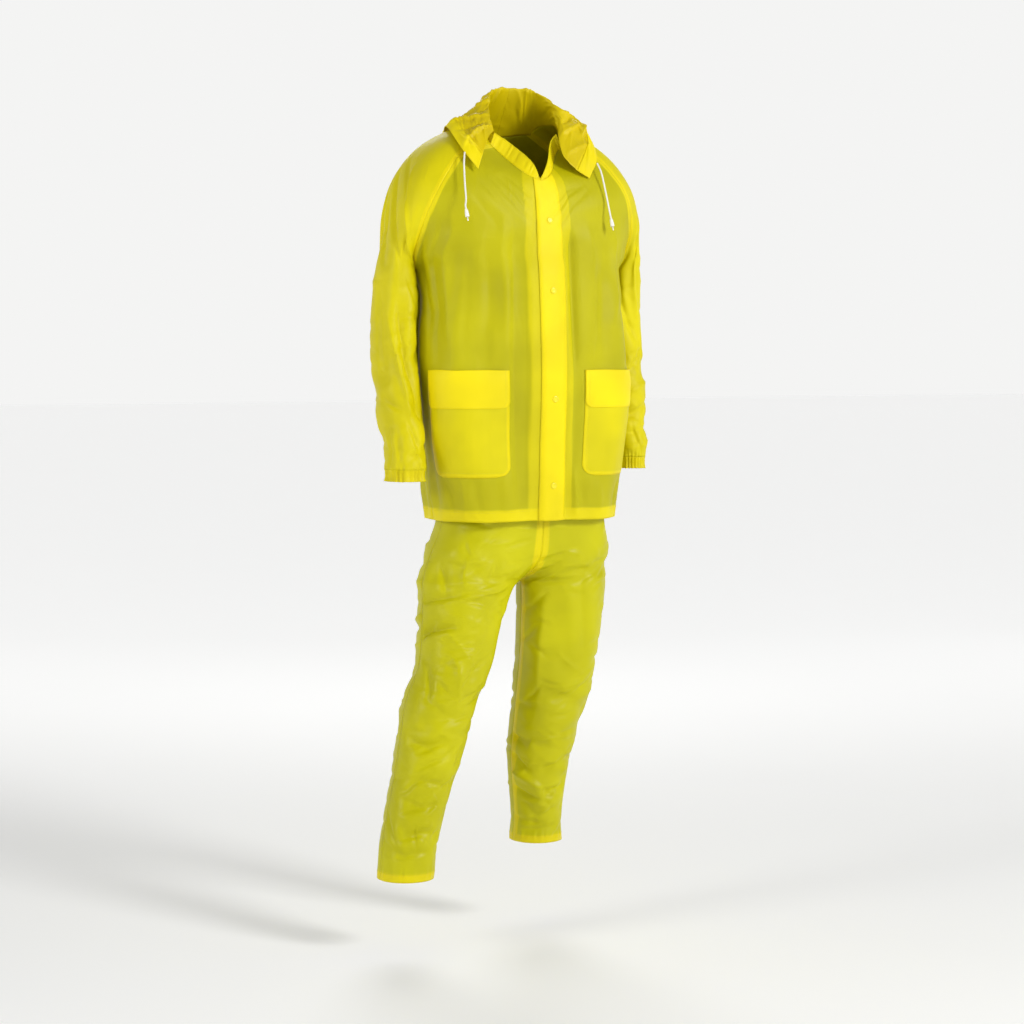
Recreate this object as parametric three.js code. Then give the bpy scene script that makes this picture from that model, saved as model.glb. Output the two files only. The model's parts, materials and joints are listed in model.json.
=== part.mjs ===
// Two-piece rain suit: a hooded raglan jacket with a snapped storm flap, worn over loose trousers.
// Lengths are in millimetres. Heights in the tables are above the floor the wearer stands on, and the
// finished group is lowered so that its origin is the neck base, where the wearer's shoulders carry it.
// Front is -Y, the wearer's left is +X.

import * as THREE from 'three';

// Cloth
const WALL = 1.6;
const HEM_WALL = 2.6;
const SEAM_GAP = 0.3;
const LAYER_GAP = 0.3;

// Figure: height of the neck base, and the plane that the shoulders are mirrored about
const NECK_HEIGHT = 1545;
const SHOULDER_CENTRE = -15;
const RIGHT = -1;
const LEFT = 1;

// Closure and trims
const FLAP_ON_RIGHT = 17;
const FLAP_ON_LEFT = 38;
const FLAP_GAP = 0.8;
const SNAP_RADIUS = 6.5;
const SNAP_THICK = 2.4;
const SNAP_SEAT = 0.5;
const SNAP_FACETS = 14;
const SNAP_RIM = { height: 0.45, dome: 0.85, domeRadius: 0.8, topRadius: 0.45 };
const CUFF_DEPTH = 22;
const CUFF_GATHER = 1.8;
const WAISTBAND_DEPTH = 32;
const WAISTBAND_GATHER = 2.6;
const CORD_RADIUS = 1.6;
const CORD_SIDES = 8;
const CORD_STEP = 7;
const TIP_RADIUS = 4;
const TIP_LENGTH = 15.5;
const TIP_FACETS = 12;
const TIP_NECK = { radius: 0.55, length: 0.3, shoulder: 0.8 };
const CORD_END = { radius: 1.3, length: 8 };
const POCKET_CORNER = 0.6;

// Roundness of the body sections: handle lengths of the cubic half sections
const CENTRE_HANDLE = 0.55;
const CENTRE_RISE = 0.2;
const HIP_HANDLE = 0.6;
const HALF_ELLIPSE = 4 / 3;
const BACK_BULGE = 0.5;

// Colours of the film in one layer and in two, and of the small parts
const FILM = 0xc8c428;
const SLEEVE_FILM = 0xd6d024;
const DOUBLE_FILM = 0xf2e40a;
const WHITE_CORD = 0xf0efe8;
const SNAP_YELLOW = 0xe2d61c;
const FILM_ROUGHNESS = 0.45;
const SNAP_ROUGHNESS = 0.35;
const CORD_ROUGHNESS = 0.8;
const TIP_ROUGHNESS = 0.4;

const table = (names, rows) => rows.map(
  (row) => Object.fromEntries(names.split(' ').map((name, column) => [name, row[column]])),
);
const point = (x, y, z) => new THREE.Vector3(x, y, z);
const mix = (a, b, share) => a + (b - a) * share;

// Jacket below the armpit, one row for each level: centre front, side seams, centre back, and how far
// the front and back corners stand out past the side seam
const BODY = table('z frontX frontY rightX leftX sideY backX backY rightBulge leftBulge reach', [
  [805, 4, -116, -178, 188, 10, 6, 127, 30, 24, 100],
  [827, 3.5, -119, -181, 188, 9, 5.5, 127, 34, 28, 103],
  [890, 2, -126, -189, 186, 8, 4, 125, 50, 46, 112],
  [960, 0, -132, -200, 183, 7, 1.5, 121, 58, 70, 118],
  [1021, -1.5, -139, -206, 182, 6, -1, 118, 60, 84, 124],
  [1093, -4.5, -146, -211, 184, 6, -4, 116, 60, 86, 128],
  [1160, -8, -150, -212, 183, 6, -7, 120, 56, 84, 130],
  [1228, -10, -149, -208, 179, 6, -11, 128, 40, 76, 128],
  [1288, -12, -147, -220, 190, 5, -14, 136, 8, 30, 128],
]);

// Raglan cap, one row for each station from the neck down to the armpit, the same on both sides. The x
// columns are distances out from the shoulder centre.
const CAP_SEAMS = table('frontX frontY frontZ backX backY backZ centreFrontY centreFrontZ centreBackY centreBackZ', [
  [76, -62, 1525, 70, 62, 1556, -124, 1453, 74, 1550],
  [142, -78, 1506, 130, 88, 1525, -131, 1433, 98, 1520],
  [178, -92, 1468, 170, 104, 1487, -137, 1412, 118, 1485],
  [201, -95, 1432, 195, 108, 1448, -141, 1389, 130, 1450],
  [216, -85, 1394, 211, 100, 1405, -144, 1364, 138, 1410],
  [224, -62, 1350, 219, 75, 1355, -146, 1338, 141, 1370],
  [222, -28, 1312, 217, 38, 1312, -147, 1312, 140, 1330],
  [205, 5, 1288, 205, 5, 1288, -147, 1288, 136, 1288],
]);
const CAP_SHAPE = table('outX outY outZ leaveX leaveY leaveZ reach crown arrive crease drop', [
  [86, 2, 1572, 0.15, 0.6, 0.78, 26, 26, 30, 0, 26],
  [134, 6, 1551, 0.2, 0.6, 0.78, 36, 34, 45, 0, 12],
  [176, 6, 1527, 0.25, 0.52, 0.8, 44, 42, 55, 0, 4],
  [207, 4, 1497, 0.35, 0.42, 0.82, 48, 46, 60, 0, 0],
  [231, 3, 1455, 0.5, 0.1, 0.8, 50, 50, 70, 0, 0],
  [251, 5, 1402, 0.62, -0.5, 0.5, 48, 54, 85, 0.35, 0],
  [266, 9, 1345, 0.5, -0.85, 0.15, 56, 64, 94, 0.7, 0],
  [277, 14, 1288, 0.34, -0.94, 0, 68, 76, 112, 1, 0],
]);
// The last station from which the cloth runs smoothly over the raglan seam
const SMOOTH_STATION = 4;

// Arms below the armpit, one row for each section: distance out, depth of the centre, half width and
// half depth
const ARM_NAMES = 'z out y wide deep';
const ARMS = {
  [RIGHT]: table(ARM_NAMES, [
    [1228, 241.6, 15, 42, 58],
    [1170, 247.8, 8, 42, 58],
    [1111, 249.4, 0, 43, 56],
    [1043, 248.6, -12, 43, 54],
    [975, 246, -27, 42, 50],
    [930, 246, -40, 39, 45],
    [906, 247, -46, 37, 42],
  ]),
  [LEFT]: table(ARM_NAMES, [
    [1228, 242, 19, 42, 57],
    [1170, 245, 21, 42, 57],
    [1111, 248, 15, 42, 54],
    [1043, 251, 8, 41, 50],
    [985, 253, -2, 37, 45],
    [940, 254, -8, 32, 39],
    [919, 255, -10, 28, 34],
  ]),
};

// Hood, thrown back: profiles from the neck seam over the crest, down the fall, round the bag and up to
// the brim, one row for each place round the neck from the front to the centre back
const HOOD_NAMES = 'crestX crestY crestZ fallX fallY fallZ bagX bagY bagZ brimX brimY brimZ';
const HOODS = {
  [RIGHT]: table(HOOD_NAMES, [
    [70, -66, 1549, 96, -96, 1536, 114, -110, 1504, 126, -114, 1473],
    [76, -58, 1574, 104, -70, 1560, 130, -80, 1538, 147, -90, 1510],
    [62, -25, 1606, 102, -15, 1580, 130, -14, 1572, 147, -16, 1559],
    [46, 0, 1630, 78, 50, 1577, 94, 114, 1540, 100, 102, 1552],
    [30, 8, 1640, 58, 88, 1564, 80, 150, 1440, 80, 140, 1552],
    [0, 14, 1642, 0, 110, 1566, 0, 165, 1370, 0, 160, 1556],
  ]),
  [LEFT]: table(HOOD_NAMES, [
    [66, -68, 1549, 56, -108, 1506, 80, -117, 1478, 110, -115, 1462],
    [76, -56, 1580, 102, -68, 1562, 122, -80, 1538, 138, -90, 1507],
    [72, -22, 1614, 104, -20, 1592, 127, -16, 1574, 143, -16, 1558],
    [48, 0, 1636, 82, 52, 1576, 94, 114, 1532, 100, 102, 1550],
    [30, 8, 1640, 58, 88, 1564, 80, 150, 1440, 80, 140, 1552],
    [0, 14, 1642, 0, 110, 1566, 0, 165, 1370, 0, 160, 1556],
  ]),
};

// Neckband: how far its free edge lies inwards, back and up from the neck seam, in thirds of the way
// from the centre front to the side
const BAND_NAMES = 'inwards back up';
const NECKBANDS = {
  [RIGHT]: table(BAND_NAMES, [
    [0, 2, 4],
    [16, 8, 24],
    [22, 13, 27],
    [14, 12, 24],
  ]),
  [LEFT]: table(BAND_NAMES, [
    [0, 2, 4],
    [3, 8, 22],
    [6, 8, 28],
    [10, 2, 25],
  ]),
};

// Trousers, one row for each level: the inner edge at the front and back, the outseam, how far the
// middle of each panel stands out in front and behind, and how far the section has turned from half a
// pair of hips (0) into a whole leg (1)
const LEG_NAMES = 'z innerX frontY backY outX outY frontMid backMid turn';
const LEGS = {
  [RIGHT]: table(LEG_NAMES, [
    [990, 10, -94, 98, -135, 2, -78, 84, 0],
    [900, 9, -98, 106, -158, 2, -82, 92, 0],
    [805, 7, -94, 106, -163, 2, -80, 90, 0],
    [745, 4, -90, 102, -186, 0, -86, 92, 0],
    [715, 2, -68, 78, -200, -3, -91, 92, 0.3],
    [695, 0, -32, 38, -207, -6, -94, 90, 0.65],
    [685, 0, 2, 2, -210, -8, -96, 88, 0.85],
    [668, -30, -10, -10, -211, -12, -98, 84, 1],
    [600, -61, -22, -22, -217, -22, -104, 68, 1],
    [532, -82, -29, -29, -226, -29, -109, 54, 1],
    [463, -114, -35, -35, -256, -35, -113, 45, 1],
    [363, -151, -45, -45, -277, -45, -115, 27, 1],
    [281, -184, -55, -55, -298, -55, -116, 7, 1],
    [207, -207, -62, -62, -315, -62, -119, -4, 1],
    [140, -218, -66, -66, -322, -66, -121, -11, 1],
  ]),
  [LEFT]: table(LEG_NAMES, [
    [990, 10, -94, 98, 155, 2, -78, 84, 0],
    [900, 9, -98, 106, 170, 2, -82, 92, 0],
    [805, 7, -94, 106, 172, 2, -80, 90, 0],
    [745, 4, -90, 102, 180, 1, -84, 94, 0],
    [715, 2, -68, 78, 181, 0, -87, 95, 0.3],
    [695, 0, -32, 38, 179, 0, -88, 95, 0.65],
    [685, 0, 2, 2, 178, 0, -88, 94, 0.85],
    [668, 5, 0, 0, 177, 0, -88, 93, 1],
    [600, 6, 3, 3, 170, 3, -84, 90, 1],
    [532, 4, 5, 5, 161, 5, -78, 90, 1],
    [443, -3, 10, 10, 143, 10, -68, 90, 1],
    [345, -8, 18, 18, 114, 18, -50, 86, 1],
    [280, -3, 23, 23, 103, 23, -38, 84, 1],
    [225, 2, 26, 26, 98, 26, -30, 82, 1],
    [170, 1, 30, 30, 99, 30, -24, 84, 1],
  ]),
};

// Largest folds, one row each: from (across, height) to (across, height), half width and depth. Across
// runs 0 to 1 over the panel from its inner edge, and depth is into the cloth, or out of it if negative.
const FOLD_NAMES = 'across1 z1 across2 z2 wide deep';
const FOLDS = {
  front: table(FOLD_NAMES, [
    [0.3, 1330, 0.22, 820, 24, 7],
    [0.5, 1260, 0.46, 1110, 26, 8],
    [0.66, 1310, 0.72, 1110, 22, 9],
    [0.56, 1000, 0.5, 800, 26, -6],
    [0.82, 1200, 0.9, 840, 24, 8],
  ]),
  back: table(FOLD_NAMES, [
    [0.14, 1340, 0.18, 820, 30, 8],
    [0.42, 1300, 0.36, 820, 28, -7],
    [0.62, 1320, 0.72, 900, 26, 9],
    [0.86, 1180, 0.9, 830, 24, 7],
  ]),
  sleeve: table(FOLD_NAMES, [
    [0.2, 1330, 0.3, 1180, 26, 7],
    [0.62, 1350, 0.7, 1170, 28, 7],
    [0.1, 1120, 0.45, 1085, 20, 6],
    [0.9, 1090, 0.55, 1050, 20, 6],
    [0.15, 1010, 0.5, 985, 16, 5],
    [0.85, 985, 0.5, 950, 16, 5],
  ]),
  trouserFront: table(FOLD_NAMES, [
    [0.9, 705, 0.55, 720, 20, 6],
    [0.3, 660, 0.42, 520, 24, 6],
    [0.2, 470, 0.75, 430, 18, 6],
    [0.85, 400, 0.3, 372, 17, 5],
    [0.2, 315, 0.7, 292, 15, 5],
    [0.75, 235, 0.3, 218, 14, 4],
  ]),
  trouserBack: table(FOLD_NAMES, [
    [0.3, 660, 0.5, 540, 26, 7],
    [0.25, 480, 0.8, 500, 18, 7],
    [0.8, 420, 0.25, 440, 17, 6],
    [0.3, 330, 0.75, 312, 15, 5],
    [0.75, 230, 0.25, 242, 14, 4],
  ]),
};
const FOLD_SPAN = { body: 270, sleeve: 330, trouser: 240 };
const SEAM_MARGIN = 0.12;

// Cosine below which two panels at a shared point count as folded against each other
const SAME_WAY = 0.2;

// Grids: the rows and columns of each panel. Body rows count levels from the hem, 8 at the armpit and
// 15 at the neck; sleeve rows count stations from the neck, 7 at the armpit.
const BODY_ROWS = [0, 1, 1.5, 2, 3, 3.5, 4, 4.5, 5, 5.5, 6, 6.5, 7, 7.5, 8, 8.6, 9.3, 10, 11, 12, 13, 14, 15];
const ARMPIT_LEVEL = 8;
const NECK_LEVEL = 15;
const HEM_TOP_ROW = 1;
const POCKET_ROWS = { bottom: 3, flapBottom: 6, flapTop: 8 };
const FRONT_SPLITS = {
  [RIGHT]: [0.1, 0.195, 0.32, 0.44, 0.56, 0.68, 0.8, 0.9, 1],
  [LEFT]: [0.06, 0.12, 0.26, 0.4, 0.54, 0.67, 0.8, 0.9, 1],
};
const FLAP_COLUMN = 2;
const SNAP_ROWS = [18, 12, 6, 2];
const SNAP_COLUMN = 2;
const POCKET_COLUMNS = { inner: 4, outer: 9 };
const BACK_COLUMNS = 9;
const SLEEVE_HALF_COLUMNS = 7;
const ARMPIT_STATION = 7;
const SLEEVE_ROWS = [0, 1, 2, 3, 4, 5, 5.7, 6.4, 7, 7.5, 8, 8.7, 9.4, 10, 10.6, 11.2, 11.7, 12.2, 12.7, 13.3, 14];
const HOOD_ROWS = 9;
const CASING_ROWS = 2;
const LEG_ROWS = [0, 1, 1.6, 2.2, 2.6, 3, 4, 5, 6, 7, 7.6, 8.2, 8.8, 9.4, 10, 10.5, 11, 11.5, 12, 12.6, 13.3, 14];
const LEG_COLUMNS = 8;

// Smooth value at t of a list of numbers, one for each whole t
function spline(values, t) {
  const last = values.length - 1;
  const start = Math.min(Math.max(Math.floor(t), 0), last - 1);
  const f = t - start;
  const value = (k) => {
    if (k < 0) return 2 * values[0] - values[1];
    if (k > last) return 2 * values[last] - values[last - 1];
    return values[k];
  };
  const [a, b, c, d] = [value(start - 1), value(start), value(start + 1), value(start + 2)];
  return b + f * (c - a + f * (2 * a - 5 * b + 4 * c - d + f * (3 * (b - c) + d - a))) / 2;
}

const rowAt = (rows, t) => Object.fromEntries(
  Object.keys(rows[0]).map((name) => [name, spline(rows.map((row) => row[name]), t)]),
);

const pointAt = (points, t) => point(...['x', 'y', 'z'].map((axis) => spline(points.map((p) => p[axis]), t)));

// The four handles of a cubic at level t, from a list of such fours
const handlesAt = (levels, t) => [0, 1, 2, 3].map((k) => pointAt(levels.map((level) => level[k]), t));

function cubic([a, b, c, d], t) {
  const s = 1 - t;
  return point(0, 0, 0)
    .addScaledVector(a, s * s * s)
    .addScaledVector(b, 3 * s * s * t)
    .addScaledVector(c, 3 * s * t * t)
    .addScaledVector(d, t * t * t);
}

const fromShoulder = (side, out, y, z) => point(SHOULDER_CENTRE + side * out, y, z);

// Raglan seam point at a cap station, in front (facing -1) or behind (facing 1)
function raglanSeam(side, facing, station) {
  const row = rowAt(CAP_SEAMS, station);
  if (facing < 0) return fromShoulder(side, row.frontX, row.frontY, row.frontZ);
  return fromShoulder(side, row.backX, row.backY, row.backZ);
}

// Edge of a front or back panel away from its centre: side seam, then raglan seam
function panelEdge(side, facing, level) {
  if (level > ARMPIT_LEVEL) return raglanSeam(side, facing, NECK_LEVEL - level);
  const row = rowAt(BODY, level);
  return point(side < 0 ? row.rightX : row.leftX, row.sideY, row.z);
}

// Direction in which a sleeve leaves its raglan seam
function leaveDirection(side, facing, row) {
  return point(side * row.leaveX, facing < 0 ? row.leaveY : -row.leaveY, row.leaveZ).normalize();
}

// Level direction in which a panel meets the raglan seam so that the cloth runs smoothly across it
function smoothArrival(side, facing, station) {
  const before = raglanSeam(side, facing, Math.max(station - 1, 0));
  const after = raglanSeam(side, facing, station + 1);
  const along = after.sub(before).normalize();
  const leave = leaveDirection(side, facing, CAP_SHAPE[station]);
  return leave.clone().multiplyScalar(-along.z).addScaledVector(along, leave.z).normalize();
}

// Handles of the half sections of the front or back, one four for each level from hem to neck
function bodyHandles(side, facing) {
  const levels = BODY.map((row, level) => {
    const centre = facing < 0 ? point(row.frontX, row.frontY, row.z) : point(row.backX, row.backY, row.z);
    const edge = panelEdge(side, facing, level);
    const bulge = (side < 0 ? row.rightBulge : row.leftBulge) * (facing < 0 ? 1 : BACK_BULGE);
    const handle = centre.clone().setX(mix(centre.x, edge.x, CENTRE_HANDLE));
    const corner = point(edge.x + side * bulge, edge.y + facing * row.reach, row.z);
    return [centre, handle, corner, edge];
  });
  const [, , armpitCorner, armpit] = levels[ARMPIT_LEVEL];
  const folded = armpit.clone().sub(armpitCorner).normalize();
  for (let station = ARMPIT_STATION - 1; station >= 0; station -= 1) {
    const row = CAP_SEAMS[station];
    const centre = facing < 0
      ? point(SHOULDER_CENTRE, row.centreFrontY, row.centreFrontZ)
      : point(SHOULDER_CENTRE, row.centreBackY, row.centreBackZ);
    const edge = raglanSeam(side, facing, station);
    const { arrive, crease, drop } = CAP_SHAPE[station];
    const handle = point(mix(centre.x, edge.x, CENTRE_HANDLE), centre.y, mix(centre.z, edge.z, CENTRE_RISE));
    const arrival = smoothArrival(side, facing, Math.min(station, SMOOTH_STATION)).lerp(folded, crease).normalize();
    const corner = edge.clone().addScaledVector(arrival, -arrive);
    if (facing < 0) corner.z -= drop;
    levels.push([centre, handle, corner, edge]);
  }
  return levels;
}

// Grid of a front or back panel. The first columns of a front are set by the width of the front flap,
// and its splits are shares of what is left of the half section.
function bodyGrid(side, facing, flapWidth) {
  const levels = bodyHandles(side, facing);
  return BODY_ROWS.map((level) => {
    const handles = handlesAt(levels, level);
    handles[3] = panelEdge(side, facing, level);
    const flapShare = flapWidth / (3 * handles[0].distanceTo(handles[1]));
    const splits = facing < 0
      ? [0, flapShare / 2, flapShare, ...FRONT_SPLITS[side].map((share) => mix(flapShare, 1, share))]
      : Array.from({ length: BACK_COLUMNS + 1 }, (_, k) => k / BACK_COLUMNS);
    return splits.map((share) => cubic(handles, share));
  });
}

// Handles of the two half sections of a sleeve, for each station from the neck to the cuff
function sleeveHandles(side) {
  const half = (seam, leave, out, reach, crown, facing) => [
    seam,
    seam.clone().addScaledVector(leave, reach),
    out.clone().add(point(0, facing * crown, 0)),
    out,
  ];
  const levels = CAP_SHAPE.map((row, station) => [-1, 1].map((facing) => half(
    raglanSeam(side, facing, station),
    leaveDirection(side, facing, row),
    fromShoulder(side, row.outX, row.outY, row.outZ),
    row.reach,
    row.crown,
    facing,
  )));
  for (const row of ARMS[side]) {
    const reach = HALF_ELLIPSE * row.deep;
    levels.push([-1, 1].map((facing) => half(
      fromShoulder(side, row.out - row.wide, row.y, row.z),
      point(0, facing, 0),
      fromShoulder(side, row.out + row.wide, row.y, row.z),
      reach,
      reach,
      facing,
    )));
  }
  return levels;
}

// Grid of a sleeve: from the front seam over the outside of the arm to the back seam
function sleeveGrid(side) {
  const levels = sleeveHandles(side);
  return SLEEVE_ROWS.map((station) => {
    const halves = [0, 1].map((k) => handlesAt(levels.map((level) => level[k]), station));
    if (station < ARMPIT_STATION) {
      halves[0][0] = raglanSeam(side, -1, station);
      halves[1][0] = raglanSeam(side, 1, station);
    } else {
      halves[0][0].lerp(halves[1][0], 0.5);
      halves[1][0].copy(halves[0][0]);
    }
    const columns = [];
    for (let k = 0; k <= SLEEVE_HALF_COLUMNS; k += 1) {
      columns.push(cubic(halves[0], k / SLEEVE_HALF_COLUMNS));
    }
    for (let k = SLEEVE_HALF_COLUMNS - 1; k >= 0; k -= 1) {
      columns.push(cubic(halves[1], k / SLEEVE_HALF_COLUMNS));
    }
    return columns;
  });
}

// Grid of half the hood: its first row is the neck edge of the sleeve and back
function hoodGrid(side, sleeve, back) {
  const sleeveTop = sleeve[0];
  const backTop = [...back[back.length - 1]].reverse();
  const neck = [...sleeveTop, ...backTop.slice(1)];
  const lastFront = sleeveTop.length - 1;
  const lastBack = backTop.length - 1;
  const place = (k) => (k <= lastFront ? 3 * k / lastFront : 3 + 2 * (k - lastFront) / lastBack);
  const profiles = neck.map((seam, k) => {
    const row = rowAt(HOODS[side], place(k));
    return [
      seam,
      fromShoulder(side, row.crestX, row.crestY, row.crestZ),
      fromShoulder(side, row.fallX, row.fallY, row.fallZ),
      fromShoulder(side, row.bagX, row.bagY, row.bagZ),
      fromShoulder(side, row.brimX, row.brimY, row.brimZ),
    ];
  });
  return Array.from({ length: HOOD_ROWS + 1 }, (_, j) => profiles.map(
    (profile) => pointAt(profile, 4 * j / HOOD_ROWS),
  ));
}

// Grid of half the neckband: up from the top edge of a front
function neckbandGrid(side, front) {
  const seam = front[front.length - 1];
  const width = seam[seam.length - 1].x - seam[0].x;
  return [0, 0.5, 1].map((share) => seam.map((p) => {
    const row = rowAt(NECKBANDS[side], 3 * (p.x - seam[0].x) / width);
    return p.clone().add(point(-side * row.inwards, row.back, row.up).multiplyScalar(share));
  }));
}

// Grid of one trouser panel, from its inner edge (centre seam, then inseam) to the outseam. The second
// handle is set so that the middle of the section stands out as far as the table says.
function legGrid(side, facing) {
  const levels = LEGS[side].map((row) => {
    const inner = point(row.innerX, facing < 0 ? row.frontY : row.backY, row.z);
    const outer = point(row.outX, row.outY, row.z);
    const middle = facing < 0 ? row.frontMid : row.backMid;
    const turn = row.turn * Math.PI / 2;
    const hipLeave = HIP_HANDLE * Math.abs(outer.x - inner.x);
    const leave = mix(hipLeave, HALF_ELLIPSE * Math.abs(middle - inner.y), row.turn);
    const first = inner.clone().add(point(side * Math.cos(turn) * leave, facing * Math.sin(turn) * leave, 0));
    const second = point(outer.x, (8 * middle - inner.y - outer.y) / 3 - first.y, row.z);
    return [inner, first, second, outer];
  });
  return LEG_ROWS.map((level) => {
    const handles = handlesAt(levels, level);
    return Array.from({ length: LEG_COLUMNS + 1 }, (_, k) => cubic(handles, k / LEG_COLUMNS));
  });
}

// Unit normals of a grid; sign turns them out of the garment
function gridNormals(grid, sign) {
  const lastRow = grid.length - 1;
  const lastColumn = grid[0].length - 1;
  return grid.map((row, j) => row.map((_, i) => {
    const across = row[Math.min(i + 1, lastColumn)].clone().sub(row[Math.max(i - 1, 0)]);
    const up = grid[Math.min(j + 1, lastRow)][i].clone().sub(grid[Math.max(j - 1, 0)][i]);
    return across.cross(up).multiplyScalar(sign).normalize();
  }));
}

// Folds press the cloth in along straight lines of the panel, fading out at its seams
function pressFolds(grid, sign, folds, span) {
  const normals = gridNormals(grid, sign);
  const last = grid[0].length - 1;
  const fade = (share) => {
    const f = Math.min(share / SEAM_MARGIN, 1);
    return f * f * (3 - 2 * f);
  };
  return grid.map((row, j) => row.map((p, i) => {
    const share = i / last;
    const across = share * span;
    let depth = 0;
    for (const fold of folds) {
      const dx = (fold.across2 - fold.across1) * span;
      const dz = fold.z2 - fold.z1;
      const along = ((across - fold.across1 * span) * dx + (p.z - fold.z1) * dz) / (dx * dx + dz * dz);
      const clamped = Math.min(Math.max(along, 0), 1);
      const offX = across - fold.across1 * span - clamped * dx;
      const offZ = p.z - fold.z1 - clamped * dz;
      depth += fold.deep * Math.exp(-(offX * offX + offZ * offZ) / (fold.wide * fold.wide));
    }
    const amount = depth * fade(share) * fade(1 - share);
    return p.clone().addScaledVector(normals[j][i], -amount);
  }));
}

// A panel is a grid of outside points with their normals. Rows from ownFrom on meet no other panel
// smoothly.
const panels = {};
function addPanel(name, grid, sign, ownFrom = grid.length) {
  panels[name] = { grid, normals: gridNormals(grid, sign), ownFrom };
}

// Panels that share a seam point share its normal too, unless the cloth is folded back there
function weldNormals() {
  const key = (p, own) => [p.x, p.y, p.z].map((value) => value.toFixed(2)).join(' ') + (own ? ' own' : '');
  const sums = new Map();
  for (const { grid, normals, ownFrom } of Object.values(panels)) {
    grid.forEach((row, j) => row.forEach((p, i) => {
      const place = key(p, j >= ownFrom);
      const sum = sums.get(place) ?? point(0, 0, 0);
      sums.set(place, sum.add(normals[j][i]));
    }));
  }
  for (const panel of Object.values(panels)) {
    panel.normals = panel.grid.map((row, j) => row.map((p, i) => {
      const shared = sums.get(key(p, j >= panel.ownFrom)).clone().normalize();
      return shared.dot(panel.normals[j][i]) > SAME_WAY ? shared : panel.normals[j][i];
    }));
  }
}

// Edges of a grid drawn back half a seam gap, so that neighbours stay apart
function drawBack(grid, { firstColumn = true, lastColumn = true, firstRow = true, lastRow = true }) {
  const moved = grid.map((row) => row.map((p) => p.clone()));
  const rowEnd = grid.length - 1;
  const columnEnd = grid[0].length - 1;
  const pull = (j, i, toJ, toI) => {
    const step = grid[toJ][toI].clone().sub(grid[j][i]).setLength(SEAM_GAP / 2);
    moved[j][i].add(step);
  };
  for (let j = 0; j <= rowEnd; j += 1) {
    if (firstColumn) pull(j, 0, j, 1);
    if (lastColumn) pull(j, columnEnd, j, columnEnd - 1);
  }
  for (let i = 0; i <= columnEnd; i += 1) {
    if (firstRow) pull(0, i, 1, i);
    if (lastRow) pull(rowEnd, i, rowEnd - 1, i);
  }
  return moved;
}

const offset = (grid, normals, distance) => grid.map((row, j) => row.map(
  (p, i) => p.clone().addScaledVector(normals[j][i], typeof distance === 'function' ? distance(j) : distance),
));

// Closed wall between an outer and an inner sheet of like grids. A ring joins its last column to its
// first, and its grid doesn't repeat that column.
function wallGeometry(outer, inner, ring = false) {
  const rows = outer.length;
  const columns = outer[0].length;
  const cells = ring ? columns : columns - 1;
  const vertices = [...outer.flat(), ...inner.flat()].flatMap((p) => [p.x, p.y, p.z]);
  const out = (j, i) => j * columns + (i % columns);
  const inn = (j, i) => rows * columns + out(j, i);
  const faces = [];
  const quad = (a, b, c, d) => faces.push([a, b, c], [a, c, d]);
  for (let j = 0; j < rows - 1; j += 1) {
    for (let i = 0; i < cells; i += 1) {
      quad(out(j, i), out(j, i + 1), out(j + 1, i + 1), out(j + 1, i));
      quad(inn(j, i), inn(j + 1, i), inn(j + 1, i + 1), inn(j, i + 1));
    }
    if (!ring) {
      quad(out(j, 0), out(j + 1, 0), inn(j + 1, 0), inn(j, 0));
      quad(out(j + 1, cells), out(j, cells), inn(j, cells), inn(j + 1, cells));
    }
  }
  for (let i = 0; i < cells; i += 1) {
    quad(out(0, i + 1), out(0, i), inn(0, i), inn(0, i + 1));
    quad(out(rows - 1, i), out(rows - 1, i + 1), inn(rows - 1, i + 1), inn(rows - 1, i));
  }
  const corner = (k) => point(...vertices.slice(3 * k, 3 * k + 3));
  const volume = faces.reduce((sum, [a, b, c]) => sum + corner(a).dot(corner(b).cross(corner(c))), 0);
  const index = volume < 0 ? faces.flatMap(([a, b, c]) => [a, c, b]) : faces.flat();
  const geometry = new THREE.BufferGeometry();
  geometry.setAttribute('position', new THREE.Float32BufferAttribute(vertices, 3));
  geometry.setIndex(index);
  geometry.computeVertexNormals();
  return geometry;
}

const suit = new THREE.Group();
suit.position.z = -NECK_HEIGHT;

function addMesh(name, geometry, color, roughness = FILM_ROUGHNESS) {
  const mesh = new THREE.Mesh(geometry, new THREE.MeshStandardMaterial({ color, roughness, metalness: 0 }));
  mesh.name = name;
  suit.add(mesh);
  return mesh;
}

// Wall of a panel: its own points outside, the same points set in by the thickness inside
function addWall(name, panel, color, thickness = WALL, edges = {}) {
  const outer = drawBack(panel.grid, edges);
  const depth = typeof thickness === 'function' ? (j) => -thickness(j) : -thickness;
  addMesh(name, wallGeometry(outer, offset(outer, panel.normals, depth)), color);
}

const cut = (grid, rows, columns) => grid.slice(rows[0], rows[1] + 1).map(
  (row) => row.slice(columns[0], columns[1] + 1),
);

// Layer that lies on part of a panel, one or two layers out from it, or against its inside (layer -1)
function addLayer(name, base, normals, layer, color, gap = LAYER_GAP) {
  const near = layer > 0 ? gap + (layer - 1) * (gap + WALL) : -(WALL + gap);
  const far = near + Math.sign(layer) * WALL;
  addMesh(name, wallGeometry(offset(base, normals, far), offset(base, normals, near)), color);
  return { grid: base, normals, far };
}

// Lower corners of a pocket drawn in towards the diagonal, for a rounded outline
function roundLowerCorners(grid) {
  const rounded = grid.map((row) => row.map((p) => p.clone()));
  const last = grid[0].length - 1;
  rounded[0][0].lerp(grid[0][1].clone().add(grid[1][0]).multiplyScalar(0.5), POCKET_CORNER);
  rounded[0][last].lerp(grid[0][last - 1].clone().add(grid[1][last]).multiplyScalar(0.5), POCKET_CORNER);
  return rounded;
}

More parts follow.
